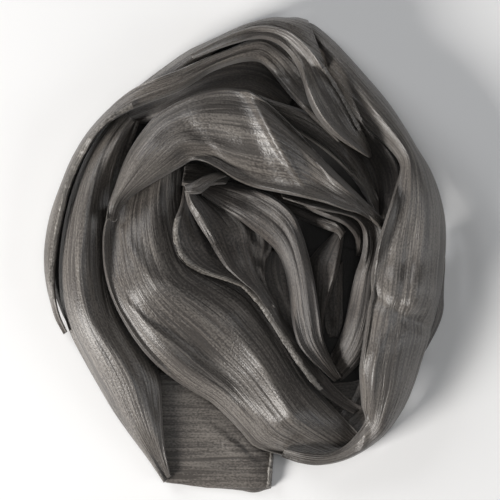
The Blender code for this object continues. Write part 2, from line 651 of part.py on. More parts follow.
def mesh_object(name, points, faces, material, collection):
    mesh = bpy.data.meshes.new(name)
    mesh.from_pydata([tuple(p) for p in points], [], [tuple(int(k) for k in f) for f in faces])
    mesh.update()
    volume = sum(
        mesh.vertices[f[0]].co.dot(mesh.vertices[f[i]].co.cross(mesh.vertices[f[i + 1]].co))
        for f in faces
        for i in range(1, len(f) - 1)
    )
    if volume < 0:
        mesh.flip_normals()
    mesh.shade_smooth()
    mesh.set_sharp_from_angle(angle=math.radians(50))
    obj = bpy.data.objects.new(name, mesh)
    obj.data.materials.append(material)
    collection.objects.link(obj)
    return obj


def satin(name, color):
    material = bpy.data.materials.new(name)
    material.use_nodes = True
    shader = material.node_tree.nodes["Principled BSDF"]
    shader.inputs["Base Color"].default_value = (*color, 1)
    shader.inputs["Roughness"].default_value = CLOTH_ROUGHNESS
    shader.inputs["Metallic"].default_value = 0
    shader.inputs["Sheen Weight"].default_value = 0.3
    return material


def loft(stretch):
    """The grids of a stretch before it is laid: its plain outer side, its inner side and its pleated side."""
    columns = 2 * max(stretch.pleats, 2)
    cloth = surface(stretch, np.linspace(0, 1, stretch.steps + 1), np.linspace(0, 1, columns + 1))
    level = levelness(cloth)
    inner = cloth.copy()
    inner[:, :, 2] -= np.minimum(WALL / np.maximum(level, 0.1), WALL_MOST)
    inner[:, :, 2] = np.maximum(inner[:, :, 2], TABLE_GAP)
    outer = cloth.copy()
    outer[:, :, 2] += pleats(cloth) * level
    return cloth, inner, outer


def quads(rows, columns):
    """The faces of a grid of points, as numbers of its points."""
    index = np.arange(rows * columns).reshape(rows, columns)
    corners = (index[:-1, :-1], index[1:, :-1], index[1:, 1:], index[:-1, 1:])
    return np.stack(corners, axis=2).reshape(-1, 4).tolist()


def surfaces_tree(grids):
    """The surfaces of all these grids, to measure distances to."""
    points, faces = [], []
    for grid in grids:
        faces += [[k + len(points) for k in face] for face in quads(*grid.shape[:2])]
        points += grid.reshape(-1, 3).tolist()
    return BVHTree.FromPolygons(points, faces)


def least_distance(grids, laid_tree, laid_points):
    """The least distance between these grids and what is laid, from the points of each to the other."""
    fine = np.concatenate([refined(grid, 3).reshape(-1, 3) for grid in grids])
    own_tree = surfaces_tree(grids)
    low, high = fine.min(axis=0) - SETTLE_MOST, fine.max(axis=0) + SETTLE_MOST
    near = laid_points[((laid_points > low) & (laid_points < high)).all(axis=1)]
    to_laid = min(laid_tree.find_nearest(point)[3] for point in fine.tolist())
    from_laid = min((own_tree.find_nearest(point)[3] for point in near.tolist()), default=HIGH)
    return min(to_laid, from_laid)


def settle(grids, laid):
    """Lets the grids of a wall down until they rest on what is laid, or on the table."""
    laid_tree = surfaces_tree(laid)
    laid_points = np.concatenate([grid.reshape(-1, 3) for grid in laid])
    room = SETTLE_MOST
    for _ in range(4):
        above_table = min(grid[:, :, 2].min() for grid in grids) - TABLE_GAP
        step = min(least_distance(grids, laid_tree, laid_points) - REST_GAP, room, above_table)
        if step < 0.02:
            break
        for grid in grids:
            grid[:, :, 2] -= step
        room -= step


def press_under(grids, ceiling):
    """Lowers a stretch where what lies over it presses it down, as far as the layers below let it."""
    _, inner, outer = grids
    drop = lift_clear(outer * (1, 1, -1), -ceiling)
    room = np.maximum(inner[:, :, 2] - PRESS_LEAST, 0)
    drop = np.minimum(np.minimum(drop, PRESS_MOST), room)
    for grid in grids:
        grid[:, :, 2] -= drop
    lower_map(inner, ceiling)


def lay_down(grids, heap):
    """Lifts a stretch clear of what it lies on."""
    _, inner, outer = grids
    lift = lift_clear(inner, heap)
    for grid in grids:
        grid[:, :, 2] += lift
    raise_map(outer, heap)


def hems_on(stretch):
    return [hem for hem in HEMS if hem.on == stretch.name]


def lay_hem(hem, cloth, heap):
    """The inner and outer side of a narrow rolled hem along one edge of a laid stretch, made from its points."""
    if hem.edge == END:
        cloth = cloth.swapaxes(0, 1)
    steps, columns = cloth.shape[0] - 1, cloth.shape[1] - 1
    along = np.linspace(hem.start, hem.end, 2 * hem.puckers + 1) * steps
    low = np.minimum(along.astype(int), steps - 1)
    share = (along - low)[:, None]
    edge = 0 if hem.edge == OUTER else columns
    beside = 1 if hem.edge == OUTER else columns - 1
    line = cloth[low, edge] * (1 - share) + cloth[low + 1, edge] * share
    inward = cloth[low, beside] * (1 - share) + cloth[low + 1, beside] * share - line
    inward[:, 2] = 0
    inward /= np.linalg.norm(inward, axis=1, keepdims=True)
    across = np.linspace(0, hem.width, 3)
    strip = line[:, None, :] + inward[:, None, :] * across[None, :, None]
    strip[:, :, 2] = np.maximum(spread(heap, np.max)[cells(strip)], line[:, 2:])
    pucker = HEM_PUCKER * (np.arange(2 * hem.puckers + 1) % 2)
    profile = np.array([0.3, 1.0, 0.3])
    inner = strip.copy()
    inner[:, :, 2] += HEM_GAP
    outer = inner.copy()
    outer[:, :, 2] += 0.4 + profile[None, :] * (HEM_THICK + pucker[:, None])
    lift = lift_clear(inner, heap)
    inner[:, :, 2] += lift
    outer[:, :, 2] += lift
    raise_map(outer, heap)
    return inner, outer


def core_grid(undersides):
    """The rings of the hidden layers: flat below, stepped in layers at the edge, and under all the rest."""
    rim = np.array(CORE_RIM, float)
    angles = np.unwrap(np.arctan2(rim[:, 1], rim[:, 0]))
    radii = np.linalg.norm(rim, axis=1)
    spokes = np.linspace(0, 2 * math.pi, CORE_SPOKES + 1)
    reach = np.interp(spokes, np.append(angles, angles[0] + 2 * math.pi), np.append(radii, radii[0]))
    directions = np.stack([np.cos(spokes), np.sin(spokes)], axis=1)

    rings = []
    for layer in range(FLOOR_LAYERS):
        for lift, out in ((0.0, 0.0), (0.5, LAYER_BULGE)):
            ring = directions * (reach + out - LAYER_STEP * layer)[:, None]
            rings.append(np.column_stack([ring, np.full(len(spokes), (layer + lift) * LAYER_THICK)]))
    edge = FLOOR_LAYERS * LAYER_THICK
    for share in np.linspace(0.955, 0.06, CORE_RINGS):
        ring = directions * (reach * share)[:, None]
        rings.append(np.column_stack([ring, np.full(len(spokes), edge + CORE_RISE * (1 - share**4))]))

    # Only the rings above the layered edge are lowered to what lies on them
    top = np.stack(rings[2 * FLOOR_LAYERS :])
    upside_down = top * (1, 1, -1)
    ceiling = np.where(undersides < HIGH, undersides - CORE_CLEARANCE, HOLLOW_FLOOR)
    drop = lift_clear(upside_down, -ceiling)
    drop[:, 0] = drop[:, -1] = np.maximum(drop[:, 0], drop[:, -1])
    top[:, :, 2] -= drop
    rows, columns = np.indices(ceiling.shape) * CELL
    under_cap = np.hypot(columns - MAP_X, rows - MAP_Y) < np.linalg.norm(top[-1, :, :2], axis=1).max()
    top[-1, :, 2] = min(top[-1, :, 2].min(), ceiling[under_cap].min())
    top[:, :, 2] = np.maximum(top[:, :, 2], CORE_LEAST)
    return np.concatenate([np.stack(rings[: 2 * FLOOR_LAYERS]), top])


def core_object(grid, material, collection):
    """The hidden layers as one rounded solid."""
    grid = grid[:, :-1]
    points = grid.reshape(-1, 3) * MM
    faces = []
    for i in range(len(grid) - 1):
        for k in range(CORE_SPOKES):
            a, b = i * CORE_SPOKES + k, i * CORE_SPOKES + (k + 1) % CORE_SPOKES
            faces.append((a, b, b + CORE_SPOKES, a + CORE_SPOKES))
    faces.append(tuple(range(CORE_SPOKES))[::-1])
    last = (len(grid) - 1) * CORE_SPOKES
    faces.append(tuple(range(last, last + CORE_SPOKES)))
    return mesh_object("hidden_layers", points, faces, material, collection)


def main():
    for obj in list(bpy.data.objects):
        bpy.data.objects.remove(obj)
    collection = bpy.data.collections.new("hijab")
    bpy.context.scene.collection.children.link(collection)
    cloth_material = satin("satin", CLOTH_COLOR)
    hem_material = satin("rolled_hem", HEM_COLOR)
    hidden_material = satin("hidden_satin", HIDDEN_COLOR)

    shape = (int(2 * MAP_Y / CELL) + 1, int(2 * MAP_X / CELL) + 1)
    lofts = {stretch.name: loft(stretch) for stretch in STRETCHES}
    above = np.full(shape, HIGH)
    for stretch in reversed(STRETCHES):
        press_under(lofts[stretch.name], above)

    heap = np.full(shape, TABLE_GAP - LAYER_GAP)
    undersides = np.full(shape, HIGH)
    for stretch in STRETCHES:
        cloth, inner, outer = lofts[stretch.name]
        lay_down((cloth, inner, outer), heap)
        lower_map(inner, undersides)
        for hem in hems_on(stretch):
            lay_hem(hem, cloth, heap)

    core = core_grid(undersides)
    core_object(core, hidden_material, collection)
    laid = [core]
    heap = np.full(shape, TABLE_GAP - LAYER_GAP)
    for stretch in STRETCHES:
        cloth, inner, outer = lofts[stretch.name]
        settle([cloth, inner, outer], laid)
        laid += [inner, outer]
        raise_map(outer, heap)
        wall_object(stretch.name, outer, inner, cloth_material, collection)
        for hem in hems_on(stretch):
            inner, outer = lay_hem(hem, cloth, heap)
            settle([inner, outer], laid)
            laid += [inner, outer]
            wall_object(hem.name, outer, inner, hem_material, collection)


main()
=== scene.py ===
"""The looks of a crinkled satin hijab laid down in a loose swirled heap.

The stretches of the shawl are laid again from the same sections as their solids, then each is drawn finer:
a thin cloth with uneven lengthwise crinkles, creases, a puckered hem and a satin weave. Lengths are in
millimetres and are scaled to metres where a mesh is made.
"""

import math
from collections import namedtuple

import bpy
import numpy as np
from mathutils.bvhtree import BVHTree
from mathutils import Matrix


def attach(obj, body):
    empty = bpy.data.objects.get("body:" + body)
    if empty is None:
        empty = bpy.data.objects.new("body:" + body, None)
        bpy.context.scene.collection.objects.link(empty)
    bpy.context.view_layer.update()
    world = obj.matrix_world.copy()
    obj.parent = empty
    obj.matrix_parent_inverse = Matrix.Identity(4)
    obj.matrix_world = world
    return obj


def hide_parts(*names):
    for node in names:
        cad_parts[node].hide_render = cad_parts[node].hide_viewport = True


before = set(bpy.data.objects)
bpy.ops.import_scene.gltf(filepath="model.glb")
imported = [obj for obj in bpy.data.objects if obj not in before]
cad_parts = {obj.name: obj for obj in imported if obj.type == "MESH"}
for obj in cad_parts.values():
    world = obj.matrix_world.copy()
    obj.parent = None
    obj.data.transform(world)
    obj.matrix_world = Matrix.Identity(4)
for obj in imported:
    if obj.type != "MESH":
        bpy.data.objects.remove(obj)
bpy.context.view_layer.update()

MM = 0.001

# The solids' walls and gaps
WALL = 1.4
WALL_MOST = 3.0
PLEAT_RISE = 1.0
PLEAT_SLOPE = 0.7
LAYER_GAP = 0.45
REST_GAP = 0.35
SETTLE_MOST = 4.0
TABLE_GAP = 0.2
PRESS_MOST = 7.0
PRESS_LEAST = 7.0
SHOULDER = 2.8
HEM_THICK = 1.2
HEM_GAP = 0.35
HEM_PUCKER = 0.5

# The hidden layers
FLOOR_LAYERS = 3
LAYER_THICK = 1.4
LAYER_BULGE = 0.8
LAYER_STEP = 1.4
CORE_SPOKES = 48
CORE_RINGS = 11
CORE_RISE = 40.0
CORE_LEAST = 3.6
CORE_CLEARANCE = 0.7
HOLLOW_FLOOR = 6.0

# The map that each new layer is laid on: its cell and its half sides
CELL = 1.0
MAP_X = 152.0
MAP_Y = 176.0
HIGH = 100.0

# The fine cloth
SATIN_THICK = 0.45
STEP_ALONG = 1.8
STEP_ACROSS = 0.5
CRINKLE_GAP = 4.4
CRINKLE_DEPTH = 0.5
LINE_DEPTH = 0.26
SLUB_DEPTH = 0.2
STITCH_GAP = 3.2

# The millimetres of cloth for each unit of texture, and the hidden layers' lowest points and unevenness
TEXTURE_UNIT = 100
CORE_LOW = 0.02
CORE_RELIEF = 0.25

# The photo's frame on the table, and how far the camera stands
FRAME_WIDE = 340.0
FRAME_CENTRE = (3.4, 4.1)
CAMERA_AWAY = 2000.0
HEAP_MIDDLE = 30.0
SENSOR = 36.0

Section = namedtuple("Section", "outer_x outer_y inner_x inner_y outer_z inner_z crown crown_at")
Fold = namedtuple("Fold", "start end across_start across_end height width")
Stretch = namedtuple("Stretch", "name steps pleats sections folds")
Hem = namedtuple("Hem", "name on start end edge width puckers")
Rim = namedtuple("Rim", "x y")

Crease = namedtuple("Crease", "on start end across_start across_end bow height width")

# The edges of a stretch that a hem can run along
OUTER, INNER, END = range(3)

# Each table below has one row for a section, in the order of the columns of Section. crown_at is the
# place of the crown across the cloth, 0 at its outer edge and 1 at its inner edge. Each row of folds
# runs from start to end along the stretch, both from 0 to 1, and has a height above the cloth, negative
# for a trough, and a width as a share of the stretch's.

TAIL_END = Stretch("tail_end", 6, 13, (
    Section(-67, -75, -55, -156, 3, 3, 8, 0.5),
    Section(-54, -79, -40, -158, 3, 3, 9, 0.5),
    Section(-36, -84, -24, -160, 3, 2, 10, 0.5),
    Section(-16, -97, -8, -161, 3, 2, 10, 0.5),
    Section(3, -117, 6, -163, 3, 2, 9, 0.5),
    Section(15, -129, 13, -163, 3, 2, 7, 0.5),
    Section(20, -133, 18, -160, 2, 2, 6, 0.5),
), (
    Fold(0.0, 0.95, 0.30, 0.45, 2.0, 0.10),
    Fold(0.05, 0.9, 0.62, 0.70, -1.6, 0.08),
))

UNDER_FOLD = Stretch("under_fold", 8, 2, (
    Section(137, 14, 122, 11, 8, 12, 20, 0.5),
    Section(138, -4, 120, -7, 4, 12, 21, 0.5),
    Section(137, -23, 118, -24, 3, 11, 21, 0.5),
    Section(136, -41, 114, -42, 3, 10, 20, 0.5),
    Section(131, -53, 111, -54, 3, 8, 17, 0.5),
    Section(124, -66, 107, -65, 3, 8, 13, 0.5),
), ())

WELL_FLOOR = Stretch("well_floor", 6, 3, (
    Section(52, -87, 50, -112, 8, 8, 13, 0.5),
    Section(63, -87, 62, -114, 8, 8, 13, 0.5),
    Section(74, -86, 74, -116, 8, 9, 14, 0.5),
    Section(85, -84, 85, -117, 10, 10, 15, 0.5),
), ())

WELL_PANEL = Stretch("well_panel", 9, 3, (
    Section(10, 2, 28, 6, 9, 9, 12, 0.4),
    Section(5, -11, 29, -8, 9, 8, 13, 0.3),
    Section(9, -27, 33, -24, 12, 8, 15, 0.3),
    Section(17, -45, 36, -42, 12, 8, 15, 0.3),
    Section(28, -63, 41, -60, 11, 8, 14, 0.3),
    Section(39, -78, 52, -75, 10, 8, 13, 0.3),
), ())

HEART_TONGUE = Stretch("heart_tongue", 7, 2, (
    Section(59, -11, 67, -4, 14, 14, 20, 0.5),
    Section(56, -24, 67, -19, 13, 13, 20, 0.5),
    Section(55, -37, 67, -34, 12, 12, 19, 0.5),
    Section(55, -48, 67, -46, 10, 10, 17, 0.5),
    Section(58, -56, 64, -56, 8, 8, 12, 0.5),
), ())

HEART_PETAL = Stretch("heart_petal", 9, 3, (
    Section(62, 17, 68, 16, 22, 22, 27, 0.5),
    Section(52, 7, 67, 7, 14, 18, 28, 0.75),
    Section(43, -4, 65, -5, 12, 16, 28, 0.75),
    Section(44, -19, 61, -19, 12, 14, 27, 0.7),
    Section(46, -33, 57, -32, 12, 12, 25, 0.6),
    Section(48, -45, 54, -44, 12, 12, 22, 0.5),
    Section(51, -54, 54, -54, 10, 10, 16, 0.5),
), ())

BACK_PANEL = Stretch("back_panel", 6, 3, (
    Section(-3, 27, 12, 20, 14, 18, 22, 0.6),
    Section(-2, 16, 19, 10, 12, 12, 22, 0.5),
    Section(0, 4, 16, 0, 12, 9, 19, 0.45),
    Section(2, -10, 14, -12, 10, 8, 16, 0.45),
    Section(8, -24, 17, -25, 8, 8, 12, 0.5),
), ())

INNER_WALL = Stretch("inner_wall", 8, 4, (
    Section(50, 120, 32, 103, 26, 12, 28, 0.1),
    Section(65, 109, 48, 94, 28, 12, 30, 0.1),
    Section(80, 94, 65, 82, 30, 12, 33, 0.1),
    Section(97, 75, 78, 67, 32, 12, 35, 0.1),
    Section(107, 57, 85, 50, 32, 12, 35, 0.1),
    Section(103, 38, 88, 34, 32, 12, 33, 0.1),
    Section(97, 19, 89, 18, 28, 14, 30, 0.2),
), (
    Fold(-0.2, 1.2, 0.62, 0.62, -12.0, 0.30),
))

INNER_TOP = Stretch("inner_top", 10, 3, (
    Section(-86, 99, -81, 90, 12, 16, 21, 0.6),
    Section(-70, 110, -61, 92, 12, 20, 32, 0.7),
    Section(-51, 120, -41, 101, 12, 20, 36, 0.7),
    Section(-35, 129, -25, 106, 12, 20, 38, 0.72),
    Section(-18, 137, -9, 107, 12, 20, 38, 0.75),
    Section(0, 140, 3, 106, 12, 20, 37, 0.78),
    Section(17, 136, 13, 102, 12, 18, 32, 0.8),
    Section(36, 118, 27, 94, 12, 13, 22, 0.8),
), (
    Fold(-0.2, 1.3, 0.28, 0.32, -24.0, 0.26),
))

INNER_PETAL = Stretch("inner_petal", 10, 3, (
    Section(9, 110, 14, 98, 24, 26, 32, 0.5),
    Section(22, 105, 27, 91, 20, 24, 41, 0.45),
    Section(37, 101, 41, 82, 18, 20, 45, 0.42),
    Section(52, 93, 55, 72, 16, 16, 46, 0.42),
    Section(66, 84, 67, 61, 14, 14, 43, 0.42),
    Section(76, 73, 77, 49, 12, 14, 32, 0.5),
    Section(84, 58, 85, 35, 14, 16, 28, 0.5),
    Section(91, 41, 92, 23, 16, 18, 26, 0.5),
), ())

LEFT_STRAND = Stretch("left_strand", 15, 7, (
    Section(-84, 101, -75, 91, 24, 22, 30, 0.5),
    Section(-99, 84, -82, 79, 18, 20, 38, 0.6),
    Section(-111, 65, -89, 58, 14, 18, 39, 0.6),
    Section(-120, 41, -92, 37, 10, 14, 38, 0.6),
    Section(-126, 14, -90, 11, 8, 10, 37, 0.55),
    Section(-128, -11, -88, -14, 8, 9, 37, 0.5),
    Section(-126, -34, -82, -38, 8, 8, 38, 0.5),
    Section(-119, -56, -71, -58, 8, 7, 38, 0.55),
    Section(-105, -82, -59, -78, 7, 6, 34, 0.6),
    Section(-92, -105, -57, -99, 5, 5, 28, 0.66),
    Section(-78, -125, -56, -120, 3, 4, 21, 0.68),
    Section(-66, -141, -54, -137, 2, 4, 13, 0.66),
    Section(-56, -156, -51, -151, 2, 3, 8, 0.5),
), (
    Fold(0.06, 0.60, 0.50, 0.40, 2.0, 0.12),
    Fold(0.12, 0.52, 0.84, 0.74, -2.2, 0.09),
))

STRAND_FOLD = Stretch("strand_fold", 9, 3, (
    Section(-88, 97, -72, 92, 9, 12, 16, 0.5),
    Section(-94, 84, -76, 80, 9, 12, 18, 0.5),
    Section(-97, 70, -82, 66, 8, 13, 19, 0.5),
    Section(-99, 55, -85, 52, 8, 13, 20, 0.5),
    Section(-101, 38, -87, 36, 8, 13, 19, 0.5),
    Section(-101, 18, -88, 16, 8, 12, 18, 0.5),
    Section(-99, 0, -86, 0, 8, 10, 16, 0.5),
), ())

OUTER_LEFT = Stretch("outer_left", 30, 4, (
    Section(75, 85, 63, 77, 16, 16, 20, 0.5),
    Section(68, 96, 52, 87, 17, 16, 25, 0.5),
    Section(59, 108, 41, 97, 18, 16, 30, 0.45),
    Section(47, 122, 31, 108, 20, 18, 35, 0.4),
    Section(34, 137, 21, 121, 21, 20, 40, 0.38),
    Section(16, 149, 11, 132, 21, 20, 44, 0.38),
    Section(-13, 140, -15, 129, 20, 20, 40, 0.4),
    Section(-47, 126, -45, 112, 16, 20, 37, 0.5),
    Section(-80, 112, -76, 100, 9, 22, 35, 0.6),
    Section(-106, 88, -99, 84, 8, 25, 34, 0.85),
    Section(-118, 70, -110, 67, 8, 23, 32, 0.85),
    Section(-127, 49, -119, 47, 8, 22, 30, 0.85),
    Section(-134, 29, -124, 27, 8, 21, 28, 0.85),
    Section(-138, 7, -128, 7, 8, 20, 26, 0.85),
    Section(-138, -12, -130, -12, 8, 19, 25, 0.85),
    Section(-134, -32, -129, -31, 8, 15, 20, 0.8),
    Section(-130, -45, -126, -43, 7, 10, 14, 0.7),
    Section(-125, -54, -122, -52, 6, 7, 9, 0.6),
), ())

TOP_ROLL = Stretch("top_roll", 15, 3, (
    Section(-37, 137, -35, 133, 18, 20, 28, 0.5),
    Section(-24, 144, -22, 138, 20, 20, 32, 0.5),
    Section(-6, 152, -5, 144, 22, 22, 36, 0.5),
    Section(12, 156, 12, 147, 23, 22, 39, 0.5),
    Section(27, 153, 23, 143, 23, 22, 42, 0.5),
    Section(38, 146, 31, 135, 23, 22, 44, 0.45),
    Section(48, 136, 37, 124, 26, 20, 45, 0.45),
    Section(56, 124, 40, 113, 31, 20, 43, 0.45),
    Section(64, 113, 44, 101, 33, 18, 41, 0.45),
    Section(71, 101, 50, 91, 32, 17, 39, 0.45),
    Section(78, 88, 60, 81, 28, 16, 35, 0.5),
    Section(84, 77, 72, 73, 21, 16, 30, 0.5),
    Section(87, 68, 83, 67, 16, 16, 24, 0.5),
), ())

BOTTOM_TURN = Stretch("bottom_turn", 9, 3, (
    Section(100, -90, 79, -84, 8, 8, 15, 0.4),
    Section(97, -104, 74, -97, 8, 8, 14, 0.4),
    Section(89, -116, 67, -106, 8, 8, 14, 0.4),
    Section(77, -127, 60, -113, 8, 8, 13, 0.4),
    Section(64, -132, 52, -119, 8, 8, 13, 0.4),
    Section(50, -134, 44, -123, 8, 8, 12, 0.4),
    Section(37, -133, 35, -125, 8, 8, 11, 0.5),
), ())

INNER_LIP_LOW = Stretch("inner_lip_low", 7, 2, (
    Section(22, 39, 26, 31, 20, 20, 24, 0.5),
    Section(39, 34, 41, 24, 20, 18, 27, 0.5),
    Section(52, 29, 52, 19, 18, 16, 27, 0.5),
    Section(63, 24, 63, 15, 18, 16, 27, 0.5),
    Section(69, 17, 65, 11, 18, 18, 24, 0.5),
), ())

INNER_LIP = Stretch("inner_lip", 11, 2, (
    Section(18, 47, 22, 38, 22, 22, 26, 0.5),
    Section(36, 43, 38, 33, 22, 22, 31, 0.5),
    Section(55, 37, 56, 26, 22, 20, 34, 0.5),
    Section(67, 31, 66, 22, 22, 20, 34, 0.5),
    Section(77, 25, 71, 18, 22, 20, 33, 0.5),
    Section(82, 17, 75, 13, 20, 18, 31, 0.5),
    Section(82, 7, 76, 6, 16, 16, 27, 0.5),
    Section(79, 0, 76, 0, 14, 14, 20, 0.5),
), ())

FRONT_BAND = Stretch("front_band", 17, 11, (
    Section(-93, 29, -43, 65, 24, 26, 33, 0.5),
    Section(-96, 20, -44, 52, 20, 26, 36, 0.45),
    Section(-97, 5, -43, 34, 16, 26, 40, 0.38),
    Section(-95, -14, -38, 14, 12, 24, 45, 0.38),
    Section(-89, -33, -29, -3, 10, 20, 50, 0.38),
    Section(-78, -53, -15, -11, 10, 17, 48, 0.34),
    Section(-63, -72, 5, -22, 10, 15, 43, 0.25),
    Section(-44, -88, 17, -37, 9, 13, 37, 0.21),
    Section(-24, -100, 29, -57, 9, 12, 36, 0.25),
    Section(-7, -116, 40, -77, 8, 13, 40, 0.40),
    Section(7, -131, 54, -96, 7, 13, 43, 0.46),
    Section(23, -136, 69, -112, 6, 13, 34, 0.45),
    Section(46, -141, 83, -127, 5, 10, 14, 0.4),
), (
    Fold(0.20, 0.74, 0.16, 0.26, 3.6, 0.06),
    Fold(0.24, 0.70, 0.34, 0.44, -3.2, 0.12),
    Fold(0.40, 0.95, 0.66, 0.58, 3.0, 0.09),
    Fold(0.30, 0.85, 0.82, 0.76, -2.4, 0.07),
))

HEM_SHEET = Stretch("hem_sheet", 19, 3, (
    Section(-42, 48, -37, 46, 32, 28, 34, 0.5),
    Section(-44, 35, -34, 38, 37, 24, 38, 0.05),
    Section(-49, 20, -31, 28, 38, 18, 39, 0.05),
    Section(-48, 7, -24, 17, 37, 14, 38, 0.05),
    Section(-41, -5, -17, 6, 36, 12, 37, 0.05),
    Section(-29, -12, -9, -3, 34, 11, 35, 0.05),
    Section(-16, -16, 0, -9, 33, 11, 34, 0.05),
    Section(-3, -21, 9, -15, 32, 11, 33, 0.05),
    Section(7, -31, 17, -25, 30, 11, 32, 0.05),
    Section(17, -46, 26, -41, 29, 11, 31, 0.05),
    Section(27, -61, 36, -56, 27, 11, 29, 0.05),
    Section(37, -76, 46, -71, 23, 10, 25, 0.05),
    Section(48, -90, 58, -85, 17, 10, 19, 0.05),
    Section(61, -101, 70, -97, 12, 9, 14, 0.1),
    Section(74, -108, 82, -104, 9, 9, 11, 0.2),
), ())

LEFT_PANEL = Stretch("left_panel", 8, 4, (
    Section(-39, 42, -29, 44, 27, 28, 31, 0.6),
    Section(-33, 30, -14, 34, 22, 20, 27, 0.4),
    Section(-27, 15, 1, 23, 18, 16, 25, 0.5),
    Section(-20, 2, 4, 8, 15, 13, 22, 0.5),
    Section(-9, -12, 8, -10, 13, 11, 19, 0.5),
    Section(5, -23, 14, -23, 12, 10, 16, 0.5),
    Section(14, -35, 21, -35, 10, 8, 13, 0.5),
), ())

LEFT_ROLL = Stretch("left_roll", 7, 2, (
    Section(-41, 44, -37, 45, 26, 26, 35, 0.5),
    Section(-39, 35, -35, 37, 24, 24, 31, 0.5),
    Section(-35, 27, -29, 29, 20, 20, 28, 0.5),
    Section(-29, 17, -24, 20, 17, 17, 24, 0.5),
    Section(-22, 7, -19, 9, 14, 14, 19, 0.5),
), ())

CENTRE_BAND = Stretch("centre_band", 16, 5, (
    Section(-27, 52, -33, 45, 24, 24, 29, 0.5),
    Section(-12, 51, -21, 35, 20, 22, 34, 0.45),
    Section(5, 47, -6, 26, 18, 20, 37, 0.45),
    Section(20, 40, 7, 16, 17, 18, 38, 0.45),
    Section(32, 30, 18, 7, 16, 16, 38, 0.5),
    Section(39, 16, 25, -4, 15, 14, 37, 0.5),
    Section(44, -1, 29, -18, 14, 13, 36, 0.5),
    Section(48, -20, 31, -34, 13, 12, 34, 0.5),
    Section(51, -39, 33, -50, 12, 12, 31, 0.5),
    Section(54, -58, 39, -65, 12, 12, 29, 0.5),
    Section(59, -70, 49, -75, 12, 12, 27, 0.5),
    Section(66, -83, 61, -86, 12, 12, 21, 0.5),
), (
    Fold(0.08, 0.70, 0.45, 0.60, -2.2, 0.10),
    Fold(0.45, 0.95, 0.30, 0.50, 2.0, 0.10),
))

CENTRE_RETURN = Stretch("centre_return", 16, 3, (
    Section(22, 47, 26, 39, 23, 23, 27, 0.5),
    Section(36, 43, 38, 35, 24, 24, 32, 0.5),
    Section(51, 39, 51, 31, 26, 26, 36, 0.5),
    Section(67, 34, 66, 28, 26, 26, 37, 0.5),
    Section(82, 30, 77, 23, 26, 24, 38, 0.5),
    Section(94, 23, 80, 16, 22, 22, 38, 0.5),
    Section(97, 8, 80, 4, 18, 18, 38, 0.5),
    Section(95, -11, 75, -14, 14, 14, 38, 0.5),
    Section(93, -30, 71, -33, 12, 10, 37, 0.5),
    Section(89, -50, 67, -50, 10, 9, 34, 0.45),
    Section(84, -65, 62, -62, 10, 9, 29, 0.4),
    Section(76, -77, 58, -70, 10, 9, 23, 0.35),
    Section(66, -86, 57, -77, 10, 9, 16, 0.4),
), ())

TUCK_PANEL = Stretch("tuck_panel", 6, 3, (
    Section(-41, 63, -43, 48, 22, 24, 29, 0.7),
    Section(-32, 63, -32, 46, 20, 24, 30, 0.7),
    Section(-21, 60, -22, 48, 18, 22, 29, 0.6),
    Section(-10, 54, -13, 49, 16, 18, 24, 0.5),
), ())

TUCK_STRIP = Stretch("tuck_strip", 7, 2, (
    Section(-41, 48, -39, 42, 26, 26, 36, 0.5),
    Section(-35, 50, -31, 42, 26, 26, 39, 0.5),
    Section(-28, 54, -24, 47, 24, 24, 38, 0.5),
    Section(-20, 57, -18, 52, 22, 22, 35, 0.5),
    Section(-13, 58, -12, 54, 20, 20, 28, 0.5),
), ())

TOP_OUTER = Stretch("top_outer", 14, 3, (
    Section(43, 162, 55, 127, 14, 24, 40, 0.5),
    Section(37, 164, 46, 134, 10, 24, 45, 0.5),
    Section(30, 164, 36, 144, 9, 26, 47, 0.5),
    Section(19, 164, 22, 152, 9, 28, 45, 0.5),
    Section(5, 161, 7, 153, 9, 28, 42, 0.55),
    Section(-10, 155, -8, 148, 9, 28, 39, 0.6),
    Section(-25, 148, -21, 139, 9, 28, 37, 0.6),
    Section(-40, 141, -35, 130, 9, 26, 35, 0.6),
    Section(-53, 132, -47, 121, 9, 24, 32, 0.6),
    Section(-64, 124, -59, 115, 9, 20, 28, 0.6),
    Section(-73, 117, -70, 111, 8, 16, 22, 0.6),
    Section(-80, 112, -78, 108, 7, 12, 16, 0.6),
), ())

OVER_BAND = Stretch("over_band", 20, 11, (
    Section(-94, 25, -88, 23, 26, 28, 31, 0.5),
    Section(-92, 36, -83, 34, 23, 32, 38, 0.5),
    Section(-88, 49, -70, 45, 20, 34, 45, 0.45),
    Section(-83, 64, -56, 53, 20, 36, 51, 0.45),
    Section(-74, 80, -44, 60, 20, 38, 54, 0.45),
    Section(-59, 97, -33, 65, 20, 36, 53, 0.45),
    Section(-39, 108, -20, 60, 20, 30, 54, 0.42),
    Section(-17, 114, 1, 48, 20, 26, 55, 0.42),
    Section(-4, 113, 22, 43, 20, 25, 57, 0.40),
    Section(6, 110, 41, 39, 20, 24, 63, 0.38),
    Section(16, 103, 49, 37, 19, 24, 58, 0.38),
    Section(29, 91, 56, 35, 18, 24, 53, 0.38),
    Section(48, 71, 67, 31, 16, 24, 50, 0.4),
    Section(67, 52, 78, 28, 14, 24, 44, 0.45),
    Section(84, 35, 86, 23, 14, 22, 37, 0.5),
    Section(95, 24, 95, 15, 14, 20, 28, 0.5),
), (
    Fold(0.25, 0.62, 0.62, 0.70, 3.0, 0.08),
    Fold(0.22, 0.50, 0.30, 0.60, -2.6, 0.12),
    Fold(0.62, 0.98, 0.30, 0.50, 3.0, 0.10),
    Fold(0.60, 0.90, 0.14, 0.26, -2.6, 0.09),
))

